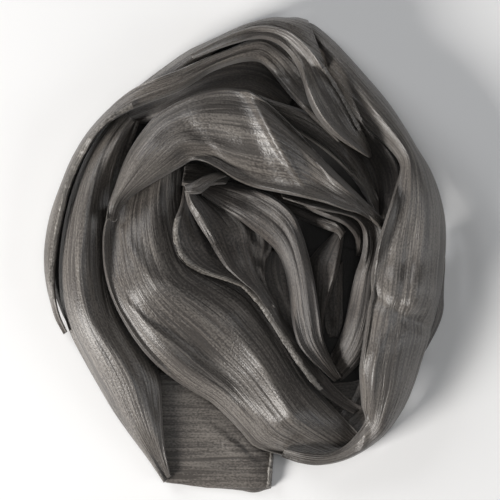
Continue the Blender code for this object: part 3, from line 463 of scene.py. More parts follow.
RIGHT_BAND = Stretch("right_band", 26, 10, (
    Section(31, 162, 40, 146, 8, 12, 20, 0.5),
    Section(46, 160, 49, 130, 7, 12, 27, 0.55),
    Section(61, 148, 56, 118, 7, 22, 36, 0.5),
    Section(75, 133, 66, 105, 8, 27, 44, 0.5),
    Section(90, 116, 78, 91, 8, 30, 50, 0.55),
    Section(103, 99, 92, 78, 8, 31, 51, 0.6),
    Section(116, 78, 105, 63, 8, 28, 53, 0.65),
    Section(129, 56, 101, 45, 8, 26, 55, 0.6),
    Section(136, 34, 95, 27, 8, 22, 56, 0.6),
    Section(138, 15, 89, 7, 9, 18, 53, 0.6),
    Section(137, -4, 86, -13, 12, 14, 52, 0.6),
    Section(134, -25, 84, -31, 14, 12, 57, 0.62),
    Section(131, -39, 82, -45, 13, 11, 52, 0.7),
    Section(127, -54, 80, -60, 12, 10, 54, 0.76),
    Section(122, -70, 78, -76, 9, 10, 52, 0.78),
    Section(116, -89, 79, -93, 7, 10, 47, 0.75),
    Section(108, -107, 80, -104, 7, 12, 41, 0.66),
    Section(99, -120, 82, -111, 7, 14, 38, 0.5),
    Section(89, -129, 78, -119, 7, 14, 33, 0.5),
    Section(76, -137, 71, -127, 6, 14, 28, 0.5),
    Section(63, -142, 62, -133, 5, 13, 24, 0.5),
    Section(49, -143, 50, -135, 4, 12, 21, 0.5),
    Section(36, -141, 37, -133, 3, 11, 18, 0.5),
    Section(25, -137, 27, -131, 3, 9, 13, 0.5),
), (
    Fold(0.05, 0.40, 0.55, 0.62, 2.4, 0.08),
    Fold(0.36, 0.66, 0.50, 0.56, -3.0, 0.09),
    Fold(0.42, 0.78, 0.25, 0.35, -2.6, 0.08),
    Fold(0.48, 0.82, 0.84, 0.72, 2.6, 0.08),
))

# The stretches from the lowest to the highest
STRETCHES = (
    TAIL_END, UNDER_FOLD, WELL_FLOOR, WELL_PANEL, HEART_TONGUE, HEART_PETAL, BACK_PANEL, INNER_WALL,
    INNER_TOP, INNER_PETAL, STRAND_FOLD, LEFT_STRAND, BOTTOM_TURN, INNER_LIP_LOW, INNER_LIP,
    FRONT_BAND, HEM_SHEET, LEFT_PANEL, LEFT_ROLL, CENTRE_RETURN, CENTRE_BAND, TUCK_PANEL,
    TUCK_STRIP, OVER_BAND, RIGHT_BAND, TOP_OUTER, OUTER_LEFT, TOP_ROLL,
)

# Where the shawl's hem shows: the stretch that it edges, the share of that edge that it takes, and the
# edge
HEMS = (
    Hem("left_hem", "outer_left", 0.50, 0.93, INNER, 4.0, 14),
    Hem("sheet_hem", "hem_sheet", 0.09, 0.86, OUTER, 4.5, 14),
    Hem("upper_right_hem", "top_roll", 0.60, 0.88, OUTER, 3.5, 6),
    Hem("tail_hem", "tail_end", 0.06, 0.94, END, 3.5, 7),
)

# The outline of the hidden layers on the table, just inside the outer stretches, counterclockwise
CORE_RIM = (
    Rim(132, 0), Rim(132, 34), Rim(124, 56), Rim(111, 78), Rim(84, 116), Rim(50, 150), Rim(26, 158),
    Rim(0, 152), Rim(-40, 134), Rim(-74, 110), Rim(-103, 84), Rim(-123, 50), Rim(-133, 14),
    Rim(-132, -22), Rim(-120, -50), Rim(-99, -76), Rim(-72, -72), Rim(-48, -74), Rim(-30, -80),
    Rim(-10, -94), Rim(8, -114), Rim(24, -132), Rim(54, -138), Rim(82, -128), Rim(104, -104),
    Rim(118, -70), Rim(128, -40),
)


def smooth_through(table, places):
    """The rows of a table at these places from 0 to 1, on a smooth curve through the rows."""
    rows = np.array(table, float)
    middles = (rows[:, 0:2] + rows[:, 2:4]) / 2
    steps = np.linalg.norm(np.diff(middles, axis=0), axis=1)
    marks = np.concatenate([[0.0], np.cumsum(steps)])
    marks /= marks[-1]
    slopes = np.gradient(rows, marks, axis=0)
    left = np.clip(np.searchsorted(marks, places, side="right") - 1, 0, len(marks) - 2)
    span = marks[left + 1] - marks[left]
    t = (places - marks[left]) / span
    t, span = t[:, None], span[:, None]
    return (
        (2 * t**3 - 3 * t**2 + 1) * rows[left]
        + (t**3 - 2 * t**2 + t) * span * slopes[left]
        + (-2 * t**3 + 3 * t**2) * rows[left + 1]
        + (t**3 - t**2) * span * slopes[left + 1]
    )


def across_in_plan(across):
    """Steps that draw together towards both edges, where the cloth turns down."""
    return 0.5 * across + 0.25 * (1 - np.cos(math.pi * across))


def section_height(plan, outer_z, inner_z, crown, crown_at):
    """The height of a section that rises steeply from each edge to a broad crown."""
    outer_side = plan < crown_at
    share = np.where(outer_side, plan / crown_at, (1 - plan) / (1 - crown_at))
    edge = np.where(outer_side, outer_z, inner_z)
    return edge + (crown - edge) * (1 - (1 - np.clip(share, 0, 1)) ** SHOULDER) ** 0.75


def fold_height(folds, along, across):
    """The largest folds, as soft ridges and troughs that fade out at both their ends."""
    height = np.zeros(np.broadcast(along, across).shape)
    for fold in folds:
        share = np.clip((along - fold.start) / (fold.end - fold.start), 0, 1)
        line = fold.across_start + (fold.across_end - fold.across_start) * share
        height += fold.height * np.sin(math.pi * share) * np.exp(-(((across - line) / fold.width) ** 2))
    return height


def surface(stretch, along, across):
    """The cloth of a stretch at a grid of places, as points."""
    rows = smooth_through(stretch.sections, along)
    outer_x, outer_y, inner_x, inner_y, outer_z, inner_z, crown, crown_at = rows.T[:, :, None]
    plan = across_in_plan(across)[None, :]
    x = outer_x + (inner_x - outer_x) * plan
    y = outer_y + (inner_y - outer_y) * plan
    z = section_height(plan, outer_z, inner_z, crown, np.clip(crown_at, 0.05, 0.95))
    z = z + fold_height(stretch.folds, along[:, None], across[None, :])
    return np.stack([x, y, z], axis=2)


def levelness(points):
    """How level the cloth lies at each point of a grid: 1 where it is level, 0 where it is upright."""
    normals = np.cross(np.gradient(points, axis=0), np.gradient(points, axis=1))
    return np.abs(normals[:, :, 2]) / np.linalg.norm(normals, axis=2)


def pleats(cloth):
    """The rise of each point on the lengthwise pleats, lower where they draw close."""
    row = np.arange(cloth.shape[0])[:, None]
    column = np.arange(cloth.shape[1])[None, :]
    crest = column % 2
    uneven = 0.75 + 0.25 * np.sin(1.7 * column + 0.9 * row)
    half_pleat = np.linalg.norm(cloth[:, -1] - cloth[:, 0], axis=1) / (cloth.shape[1] - 1)
    rise = np.minimum(PLEAT_RISE, PLEAT_SLOPE * half_pleat)
    return rise[:, None] * crest * uneven


def refined(grid, factor):
    """The grid with factor times as many steps each way, straight between its points."""
    for axis in (0, 1):
        count = grid.shape[axis] - 1
        places = np.linspace(0, count, count * factor + 1)
        low = np.minimum(places.astype(int), count - 1)
        share = (places - low).reshape((-1, 1, 1) if axis == 0 else (1, -1, 1))
        grid = np.take(grid, low, axis) * (1 - share) + np.take(grid, low + 1, axis) * share
    return grid


def cells(points):
    """The map cell of each point, as row and column numbers."""
    rows = np.rint((points[..., 1] + MAP_Y) / CELL).astype(int)
    columns = np.rint((points[..., 0] + MAP_X) / CELL).astype(int)
    return rows, columns


def finest_step(grid):
    """How many times to refine a grid so that its points lie closer than the map's cells."""
    widest = max(
        np.linalg.norm(np.diff(grid[:, :, :2], axis=0), axis=2).max(),
        np.linalg.norm(np.diff(grid[:, :, :2], axis=1), axis=2).max(),
    )
    return max(2, math.ceil(1.6 * widest / CELL))


def spread(field, pick, reach=1):
    """Each cell of a map, or each point of a grid, with the highest or lowest value around it."""
    padded = np.pad(field, reach, mode="edge")
    rows, columns = field.shape
    shifted = [
        padded[i : i + rows, j : j + columns]
        for i in range(2 * reach + 1)
        for j in range(2 * reach + 1)
    ]
    return pick(shifted, axis=0)


def lift_clear(inner, heap):
    """How far each point of a wall's inner side has to rise to clear the heap so far."""
    factor = finest_step(inner)
    fine = refined(inner, factor)
    lack = spread(heap, np.max)[cells(fine)] + LAYER_GAP - fine[:, :, 2]
    steps, columns = inner.shape[0] - 1, inner.shape[1] - 1
    in_cell = np.zeros((steps, columns))
    for i in range(steps):
        band = lack[i * factor : (i + 1) * factor + 1]
        for j in range(columns):
            in_cell[i, j] = band[:, j * factor : (j + 1) * factor + 1].max()
    at_points = np.zeros(inner.shape[:2])
    for di in (0, 1):
        for dj in (0, 1):
            part = at_points[di : di + steps, dj : dj + columns]
            np.maximum(part, in_cell, out=part)
    lift = at_points
    for _ in range(3):
        padded = np.pad(lift, 1, mode="edge")
        mean = (padded[:-2, 1:-1] + padded[2:, 1:-1] + padded[1:-1, :-2] + padded[1:-1, 2:]) / 4
        lift = np.maximum(at_points, mean)
    return lift


def raise_map(outer, heap):
    """Raises the map of the heap to the outer side of a wall."""
    fine = refined(outer, finest_step(outer))
    np.maximum.at(heap, cells(fine), fine[:, :, 2])


def lower_map(inner, ceiling):
    """Lowers the map of the undersides to the inner side of a wall."""
    fine = refined(inner, finest_step(inner))
    np.minimum.at(ceiling, cells(fine), fine[:, :, 2])


def quads(rows, columns):
    """The faces of a grid of points, as numbers of its points."""
    index = np.arange(rows * columns).reshape(rows, columns)
    corners = (index[:-1, :-1], index[1:, :-1], index[1:, 1:], index[:-1, 1:])
    return np.stack(corners, axis=2).reshape(-1, 4).tolist()


def surfaces_tree(grids):
    """The surfaces of all these grids, to measure distances to."""
    points, faces = [], []
    for grid in grids:
        faces += [[k + len(points) for k in face] for face in quads(*grid.shape[:2])]
        points += grid.reshape(-1, 3).tolist()
    return BVHTree.FromPolygons(points, faces)


def least_distance(grids, laid_tree, laid_points):
    """The least distance between these grids and what is laid, from the points of each to the other."""
    fine = np.concatenate([refined(grid, 3).reshape(-1, 3) for grid in grids])
    own_tree = surfaces_tree(grids)
    low, high = fine.min(axis=0) - SETTLE_MOST, fine.max(axis=0) + SETTLE_MOST
    near = laid_points[((laid_points > low) & (laid_points < high)).all(axis=1)]
    to_laid = min(laid_tree.find_nearest(point)[3] for point in fine.tolist())
    from_laid = min((own_tree.find_nearest(point)[3] for point in near.tolist()), default=HIGH)
    return min(to_laid, from_laid)


def settle(grids, laid):
    """Lets the grids of a wall down until they rest on what is laid, or on the table."""
    laid_tree = surfaces_tree(laid)
    laid_points = np.concatenate([grid.reshape(-1, 3) for grid in laid])
    room = SETTLE_MOST
    for _ in range(4):
        above_table = min(grid[:, :, 2].min() for grid in grids) - TABLE_GAP
        step = min(least_distance(grids, laid_tree, laid_points) - REST_GAP, room, above_table)
        if step < 0.02:
            break
        for grid in grids:
            grid[:, :, 2] -= step
        room -= step


def loft(stretch):
    """The grids of a stretch before it is laid: its plain outer, its inner and its pleated side."""
    columns = 2 * max(stretch.pleats, 2)
    cloth = surface(stretch, np.linspace(0, 1, stretch.steps + 1), np.linspace(0, 1, columns + 1))
    level = levelness(cloth)
    inner = cloth.copy()
    inner[:, :, 2] -= np.minimum(WALL / np.maximum(level, 0.1), WALL_MOST)
    inner[:, :, 2] = np.maximum(inner[:, :, 2], TABLE_GAP)
    outer = cloth.copy()
    outer[:, :, 2] += pleats(cloth) * level
    return cloth, inner, outer


def press_under(grids, ceiling):
    """Lowers a stretch where what lies over it presses it down, as far as the layers below let it."""
    _, inner, outer = grids
    drop = lift_clear(outer * (1, 1, -1), -ceiling)
    room = np.maximum(inner[:, :, 2] - PRESS_LEAST, 0)
    drop = np.minimum(np.minimum(drop, PRESS_MOST), room)
    for grid in grids:
        grid[:, :, 2] -= drop
    lower_map(inner, ceiling)


def lay_down(grids, heap):
    """Lifts a stretch clear of what it lies on."""
    _, inner, outer = grids
    lift = lift_clear(inner, heap)
    for grid in grids:
        grid[:, :, 2] += lift
    raise_map(outer, heap)


def hems_on(stretch):
    return [hem for hem in HEMS if hem.on == stretch.name]


def lay_hem(hem, cloth, heap):
    """The inner and outer side of a rolled hem on one edge of a laid stretch, made from its points."""
    if hem.edge == END:
        cloth = cloth.swapaxes(0, 1)
    steps, columns = cloth.shape[0] - 1, cloth.shape[1] - 1
    along = np.linspace(hem.start, hem.end, 2 * hem.puckers + 1) * steps
    low = np.minimum(along.astype(int), steps - 1)
    share = (along - low)[:, None]
    edge = 0 if hem.edge == OUTER else columns
    beside = 1 if hem.edge == OUTER else columns - 1
    line = cloth[low, edge] * (1 - share) + cloth[low + 1, edge] * share
    inward = cloth[low, beside] * (1 - share) + cloth[low + 1, beside] * share - line
    inward[:, 2] = 0
    inward /= np.linalg.norm(inward, axis=1, keepdims=True)
    across = np.linspace(0, hem.width, 3)
    strip = line[:, None, :] + inward[:, None, :] * across[None, :, None]
    strip[:, :, 2] = np.maximum(spread(heap, np.max)[cells(strip)], line[:, 2:])
    pucker = HEM_PUCKER * (np.arange(2 * hem.puckers + 1) % 2)
    profile = np.array([0.3, 1.0, 0.3])
    inner = strip.copy()
    inner[:, :, 2] += HEM_GAP
    outer = inner.copy()
    outer[:, :, 2] += 0.4 + profile[None, :] * (HEM_THICK + pucker[:, None])
    lift = lift_clear(inner, heap)
    inner[:, :, 2] += lift
    outer[:, :, 2] += lift
    raise_map(outer, heap)
    return inner, outer


def core_grid(undersides):
    """The rings of the hidden layers: flat below, stepped in layers at the edge, and under all the rest."""
    rim = np.array(CORE_RIM, float)
    angles = np.unwrap(np.arctan2(rim[:, 1], rim[:, 0]))
    radii = np.linalg.norm(rim, axis=1)
    spokes = np.linspace(0, 2 * math.pi, CORE_SPOKES + 1)
    reach = np.interp(spokes, np.append(angles, angles[0] + 2 * math.pi), np.append(radii, radii[0]))
    directions = np.stack([np.cos(spokes), np.sin(spokes)], axis=1)

    rings = []
    for layer in range(FLOOR_LAYERS):
        for lift, out in ((0.0, 0.0), (0.5, LAYER_BULGE)):
            ring = directions * (reach + out - LAYER_STEP * layer)[:, None]
            rings.append(np.column_stack([ring, np.full(len(spokes), (layer + lift) * LAYER_THICK)]))
    edge = FLOOR_LAYERS * LAYER_THICK
    for share in np.linspace(0.955, 0.06, CORE_RINGS):
        ring = directions * (reach * share)[:, None]
        rings.append(np.column_stack([ring, np.full(len(spokes), edge + CORE_RISE * (1 - share**4))]))

    # Only the rings above the layered edge are lowered to what lies on them
    top = np.stack(rings[2 * FLOOR_LAYERS :])
    upside_down = top * (1, 1, -1)
    ceiling = np.where(undersides < HIGH, undersides - CORE_CLEARANCE, HOLLOW_FLOOR)
    drop = lift_clear(upside_down, -ceiling)
    drop[:, 0] = drop[:, -1] = np.maximum(drop[:, 0], drop[:, -1])
    top[:, :, 2] -= drop
    rows, columns = np.indices(ceiling.shape) * CELL
    under_cap = np.hypot(columns - MAP_X, rows - MAP_Y) < np.linalg.norm(top[-1, :, :2], axis=1).max()
    top[-1, :, 2] = min(top[-1, :, 2].min(), ceiling[under_cap].min())
    top[:, :, 2] = np.maximum(top[:, :, 2], CORE_LEAST)
    return np.concatenate([np.stack(rings[: 2 * FLOOR_LAYERS]), top])


# The main creases: where each starts and ends along and across its stretch, how far it bows sideways,
# its height above the cloth, negative for a trough, and its width, in millimetres
CREASES = (
    Crease("over_band", 0.60, 0.65, 0.06, 0.96, 0.07, 2.0, 4.2),
    Crease("over_band", 0.57, 0.61, 0.10, 0.90, 0.05, -1.4, 3.6),
    Crease("over_band", 0.66, 0.80, 0.10, 0.60, -0.04, -1.4, 3.4),
    Crease("over_band", 0.34, 0.42, 0.20, 0.86, 0.04, -1.6, 5.0),
    Crease("front_band", 0.20, 0.66, 0.12, 0.30, 0.05, 1.8, 2.2),
    Crease("front_band", 0.22, 0.66, 0.17, 0.36, 0.05, -1.8, 3.2),
    Crease("front_band", 0.06, 0.30, 0.26, 0.50, 0.04, 1.6, 3.6),
    Crease("front_band", 0.08, 0.34, 0.40, 0.64, 0.04, -1.2, 4.0),
    Crease("front_band", 0.48, 0.92, 0.62, 0.50, 0.03, 1.2, 3.0),
    Crease("right_band", 0.49, 0.58, 1.05, 0.00, 0.02, 2.2, 9.0),
    Crease("right_band", 0.54, 0.64, 1.05, 0.00, 0.02, -4.2, 5.5),
    Crease("right_band", 0.80, 0.86, 0.92, 0.25, 0.05, 2.2, 3.4),
    Crease("right_band", 0.58, 0.84, 0.62, 0.78, 0.04, 1.6, 2.4),
    Crease("right_band", 0.58, 0.82, 0.68, 0.84, 0.04, -1.8, 3.0),
    Crease("right_band", 0.08, 0.42, 0.64, 0.70, -0.03, -1.4, 2.6),
    Crease("left_strand", 0.05, 0.42, 0.50, 0.42, 0.03, 1.6, 2.8),
    Crease("left_strand", 0.40, 0.86, 0.78, 0.66, -0.03, -1.2, 3.0),
    Crease("tail_end", 0.10, 0.72, 0.10, 0.20, 0.02, 1.2, 3.2),
    Crease("tail_end", 0.16, 0.92, 0.60, 0.56, 0.02, -0.7, 2.2),
    Crease("outer_left", 0.08, 0.20, 0.30, 0.60, 0.03, -1.4, 2.6),
    Crease("centre_band", 0.10, 0.66, 0.40, 0.52, 0.04, 1.0, 2.2),
)


# The stretches whose crinkles run level across the picture rather than along them
LEVEL_LINES = ("tail_end",)

# The stretches that show the cloth's back side, which is duller and browner; they lie in the hollows, and
# their darker colour is painted shade
REVERSE_IN_SHADE = (
    "well_floor", "well_panel", "heart_tongue", "heart_petal", "back_panel", "inner_wall", "bottom_turn",
    "inner_lip_low", "inner_lip", "centre_return", "centre_band", "hem_sheet", "under_fold", "inner_top",
    "left_panel",
)


def value_noise(x, y, seed):
    """Smooth random hills from -1 to 1, one for each unit of x and y."""
    values = np.random.default_rng(seed).uniform(-1, 1, (97, 89))
    low_x, low_y = np.floor(x).astype(int), np.floor(y).astype(int)
    share_x, share_y = x - low_x, y - low_y
    share_x = share_x * share_x * (3 - 2 * share_x)
    share_y = share_y * share_y * (3 - 2 * share_y)
    rows, columns = values.shape
    a = values[low_x % rows, low_y % columns]
    b = values[(low_x + 1) % rows, low_y % columns]
    c = values[low_x % rows, (low_y + 1) % columns]
    d = values[(low_x + 1) % rows, (low_y + 1) % columns]
    return (a * (1 - share_x) + b * share_x) * (1 - share_y) + (c * (1 - share_x) + d * share_x) * share_y


def smooth_steps(grid, count, axis):
    """The grid with this many steps along one axis, on smooth curves through its points."""
    grid = np.moveaxis(grid, axis, 0)
    last = len(grid) - 1
    places = np.linspace(0, last, count + 1)
    low = np.minimum(places.astype(int), last - 1)
    t = (places - low).reshape((-1,) + (1,) * (grid.ndim - 1))
    before, after = grid[np.maximum(low - 1, 0)], grid[np.minimum(low + 2, last)]
    start, end = grid[low], grid[low + 1]
    fine = 0.5 * (
        2 * start
        + (end - before) * t
        + (2 * before - 5 * start + 4 * end - after) * t**2
        + (3 * start - before - 3 * end + after) * t**3
    )
    return np.moveaxis(fine, 0, axis)


def grid_normals(points):
    normals = np.cross(np.gradient(points, axis=0), np.gradient(points, axis=1))
    normals /= np.maximum(np.linalg.norm(normals, axis=2, keepdims=True), 1e-9)
    return normals * np.where(normals[:, :, 2:3] < 0, -1, 1)


def sizes_of(grid):
    """The mean length of a grid along its stretch and across it."""
    length = np.linalg.norm(np.diff(grid, axis=0), axis=2).sum(axis=0).mean()
    width = np.linalg.norm(np.diff(grid, axis=1), axis=2).sum(axis=1).mean()
    return length, width


def crinkles(along, across, width, seed):
    """Uneven lengthwise crinkles: pleats that wander, fade and merge, with finer lines between them."""
    pleat = across / CRINKLE_GAP + 0.55 * value_noise(along / 55, across / 14, seed)
    crest = 2 * np.abs(np.sin(math.pi * pleat)) ** 0.7 - 1
    depth = 0.55 + 0.45 * value_noise(along / 38, across / 7, seed + 1)
    line = pleat * 2.7 + 0.4 * value_noise(along / 30, across / 5, seed + 2)
    lines = 1 - 2 * np.abs(np.sin(math.pi * line))
    line_depth = 0.5 + 0.5 * value_noise(along / 22, across / 3, seed + 3)
    slub = value_noise(along / 16, across / 2.2, seed + 4)
    edge = np.clip(np.minimum(across, width - across) / 2.5, 0.25, 1)
    relief = 0.5 * CRINKLE_DEPTH * depth * crest + 0.5 * LINE_DEPTH * line_depth * lines
    return edge * (relief + 0.5 * SLUB_DEPTH * slub)


def creases_on(name, along, across, length, width, seed):
    """The listed creases of a stretch, in any direction on it and uneven along their length."""
    height = np.zeros(along.shape)
    for crease in CREASES:
        if crease.on != name:
            continue
        start = np.array([crease.start * length, crease.across_start * width])
        way = np.array([crease.end * length, crease.across_end * width]) - start
        reach = math.hypot(*way)
        off_along, off_across = along - start[0], across - start[1]
        share = np.clip((off_along * way[0] + off_across * way[1]) / reach**2, 0, 1)
        arch = np.sin(math.pi * share)
        aside = (off_across * way[0] - off_along * way[1]) / reach - crease.bow * reach * arch
        uneven = 0.8 + 0.2 * value_noise(share * 4, share * 0, seed)
        height += crease.height * uneven * arch**0.7 * np.exp(-((aside / crease.width) ** 2))
    return height


def fine_cloth(name, laid, seed):
    """The fine grid of a laid stretch, and each point's place along and across it in millimetres."""
    length, width = sizes_of(laid)
    rows = max(8, math.ceil(length / STEP_ALONG))
    columns = max(8, math.ceil(width / STEP_ACROSS))
    grid = smooth_steps(smooth_steps(laid, rows, 0), columns, 1)
    share_along = np.linspace(0, 1, rows + 1)[:, None] + np.zeros((1, columns + 1))
    share_across = np.linspace(0, 1, columns + 1)[None, :] + np.zeros((rows + 1, 1))
    along, across = share_along * length, share_across * width
    if name in LEVEL_LINES:
        along = grid[:, :, 0] - grid[:, :, 0].min()
        across = grid[:, :, 1].max() - grid[:, :, 1]
        length, width = along.max(), across.max()
    relief = crinkles(along, across, width, seed) + creases_on(name, along, across, length, width, seed)
    grid = grid + relief[:, :, None] * grid_normals(grid)
    grid[:, :, 2] = np.maximum(grid[:, :, 2], TABLE_GAP + SATIN_THICK)
    return grid, along, across


def grid_object(name, grid, along, across, material):
    """A mesh object of a grid, with its place on the cloth as its texture coordinates."""
    mesh = bpy.data.meshes.new(name)
    faces = quads(*grid.shape[:2])
    mesh.from_pydata((grid.reshape(-1, 3) * MM).tolist(), [], faces)
    layer = mesh.uv_layers.new(name="cloth")
    places = np.stack([along, across], axis=2).reshape(-1, 2) / TEXTURE_UNIT
    corners = np.empty(len(mesh.loops), int)
    mesh.loops.foreach_get("vertex_index", corners)
    layer.data.foreach_set("uv", places[corners].reshape(-1))
    mesh.update()
    mesh.shade_smooth()
    mesh.materials.append(material)
    obj = bpy.data.objects.new(name, mesh)
    bpy.context.scene.collection.objects.link(obj)
    return obj


def thin_cloth(name, grid, along, across, material):
    """A stretch as a thin closed cloth, its upper side on the grid."""
    if grid_faces_down(grid):
        grid, along, across = grid[:, ::-1], along[:, ::-1], across[:, ::-1]
    obj = grid_object(name, grid, along, across, material)
    solidify = obj.modifiers.new("satin", "SOLIDIFY")
    solidify.thickness = SATIN_THICK * MM
    solidify.offset = -1
    return obj


def grid_faces_down(grid):
    """Whether the faces that quads gives this grid look down."""
    a, b, c = grid[:-1, :-1], grid[1:, :-1], grid[1:, 1:]
    return np.cross(b - a, c - a)[:, :, 2].sum() < 0


def hem_cloth(hem, inner, outer, material):
    """A rolled hem: a plump strip with a pucker at each stitch."""
    middle = (inner + outer) / 2
    line = smooth_steps(middle[:, 1], 12 * (len(middle) - 1) // 2, 0)
    inward = smooth_steps(middle[:, 2] - middle[:, 0], 12 * (len(middle) - 1) // 2, 0)
    inward /= np.linalg.norm(inward, axis=1, keepdims=True)
    steps = np.linalg.norm(np.diff(line, axis=0), axis=1)
    along = np.concatenate([[0], np.cumsum(steps)])
    up = np.array([0, 0, 1.0])
    around = np.linspace(0, 2 * math.pi, 17)
    bulge = value_noise(along / 5.2, along * 0, 5)
    pucker = 1 + 0.10 * np.sin(2 * math.pi * along / STITCH_GAP + 2 * bulge) + 0.26 * bulge
    half_wide = 0.46 * hem.width * pucker
    half_high = 1.0 * pucker + 0.25 * value_noise(along / 3.3, along * 0, 6)
    ring = (
        line[:, None, :]
        + inward[:, None, :] * (half_wide[:, None] * np.cos(around)[None, :])[:, :, None]
        + up[None, None, :] * (half_high[:, None] * np.sin(around)[None, :])[:, :, None]
    )
    across = np.broadcast_to(around[None, :] * hem.width / 2, ring.shape[:2])
    along = np.broadcast_to(along[:, None], ring.shape[:2])
    return grid_object(hem.name + "_roll", ring, along, across, material)


def satin_material(name, light, dark, roughness, crinkle=0.35):
    """Crinkled satin: a fine weave under lengthwise lines, with a sheen that runs across them, and painted
    shade in the troughs of the lines and grooves.
    """
    material = bpy.data.materials.new(name)
    material.use_nodes = True
    nodes, links = material.node_tree.nodes, material.node_tree.links

    def set_inputs(node, inputs):
        for place, value in inputs.items():
            if isinstance(value, bpy.types.NodeSocket):
                links.new(value, node.inputs[place])
            else:
                node.inputs[place].default_value = value

    def add_node(kind, inputs, **settings):
        node = nodes.new("ShaderNode" + kind)
        for setting, value in settings.items():
            setattr(node, setting, value)
        set_inputs(node, inputs)
        return node

    place = add_node("UVMap", {}, uv_map="cloth").outputs["UV"]
    tangent = add_node("Tangent", {}, direction_type="UV_MAP", uv_map="cloth").outputs["Tangent"]

    def streaks(along_gap, across_gap, detail):
        scale = (TEXTURE_UNIT / along_gap, TEXTURE_UNIT / across_gap, 1)
        mapping = add_node("Mapping", {"Vector": place, "Scale": scale}).outputs["Vector"]
        return add_node("TexNoise", {"Vector": mapping, "Scale": 1, "Detail": detail}).outputs["Fac"]

    lines = streaks(50, 1.5, 2)
    blotches = streaks(34, 20, 2)
    grain = streaks(1.7, 1.1, 2)
    # Painted shade: the grooves and the troughs of the lines pull the colour towards the dark tone; the
    # grain and blotches give a random tone of the cloth's own
    groove_shade_range = {"Value": streaks(80, 2.4, 1), "From Min": 0.38, "From Max": 0.45, "To Min": 0.2}
    grooves = add_node("MapRange", groove_shade_range, interpolation_type="SMOOTHSTEP").outputs["Result"]
    speckled = add_node("Math", {0: grain, 1: 3.2, 2: blotches}, operation="MULTIPLY_ADD")
    both = add_node("Math", {0: lines, 1: 2.8, 2: speckled.outputs[0]}, operation="MULTIPLY_ADD")
    ramp = add_node("MapRange", {"Value": both.outputs[0], "From Min": 2.95, "From Max": 4.05})
    groove_shaded = add_node("Math", {0: ramp.outputs["Result"], 1: grooves}, operation="MULTIPLY")
    shades = {"Factor": groove_shaded.outputs[0], 6: (*dark, 1), 7: (*light, 1)}
    shade = add_node("Mix", shades, data_type="RGBA")

    normal = None
    for height, depth, strength in ((lines, 0.7, crinkle), (grooves, 0.25, crinkle), (grain, 0.5, 0.6)):
        bump = add_node("Bump", {"Distance": depth * MM, "Strength": strength, "Height": height})
        if normal:
            links.new(normal, bump.inputs["Normal"])
        normal = bump.outputs["Normal"]
    set_inputs(nodes["Principled BSDF"], {
        "Roughness": roughness,
        "Specular IOR Level": 0.85,
        "Anisotropic": 0.7,
        "Anisotropic Rotation": 0.25,
        "Sheen Weight": 0.12,
        "Sheen Roughness": 0.4,
        "Tangent": tangent,
        "Base Color": shade.outputs[2],
        "Normal": normal,
    })
    return material


def plain_material(name, color, roughness):
    material = bpy.data.materials.new(name)
    material.use_nodes = True
    shader = material.node_tree.nodes["Principled BSDF"]
    shader.inputs["Base Color"].default_value = (*color, 1)
    shader.inputs["Roughness"].default_value = roughness
    return material


def lay_all():
    """The laid grids of every stretch and hem, and the rings of the hidden layers, as in their solids."""
    shape = (int(2 * MAP_Y / CELL) + 1, int(2 * MAP_X / CELL) + 1)
    lofts = {stretch.name: loft(stretch) for stretch in STRETCHES}
    above = np.full(shape, HIGH)
    for stretch in reversed(STRETCHES):
        press_under(lofts[stretch.name], above)
    heap = np.full(shape, TABLE_GAP - LAYER_GAP)
    undersides = np.full(shape, HIGH)
    for stretch in STRETCHES:
        cloth, inner, outer = lofts[stretch.name]
        lay_down((cloth, inner, outer), heap)
        lower_map(inner, undersides)
        for hem in hems_on(stretch):
            lay_hem(hem, cloth, heap)
    core = core_grid(undersides)
    laid = [core]
    hems = {}
    heap = np.full(shape, TABLE_GAP - LAYER_GAP)
    for stretch in STRETCHES:
        cloth, inner, outer = lofts[stretch.name]
        settle([cloth, inner, outer], laid)
        laid += [inner, outer]
        raise_map(outer, heap)
        for hem in hems_on(stretch):
            inner, outer = lay_hem(hem, cloth, heap)
            settle([inner, outer], laid)
            laid += [inner, outer]
            hems[hem.name] = (inner, outer)
    return lofts, hems, core


def make_cloth(satin, reverse_in_shade, lit_hem_satin, hollow_shade_satin):
    lofts, hems, core = lay_all()
    rolls = {}
    for hem in HEMS:
        inner, outer = hems[hem.name]
        roll = hem_cloth(hem, inner, outer, lit_hem_satin)
        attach(roll, "root")
        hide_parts(hem.name)
        rolls.setdefault(hem.on, []).append(roll)
    for seed, stretch in enumerate(STRETCHES):
        grid, along, across = fine_cloth(stretch.name, lofts[stretch.name][0], 20 * seed)
        # The stretches in the hollows take the darker copy of the satin, painted shade
        side = reverse_in_shade if stretch.name in REVERSE_IN_SHADE else satin
        piece = thin_cloth(stretch.name + "_satin", grid, along, across, side)
        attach(piece, "root")
        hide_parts(stretch.name)
    make_core(core, hollow_shade_satin)


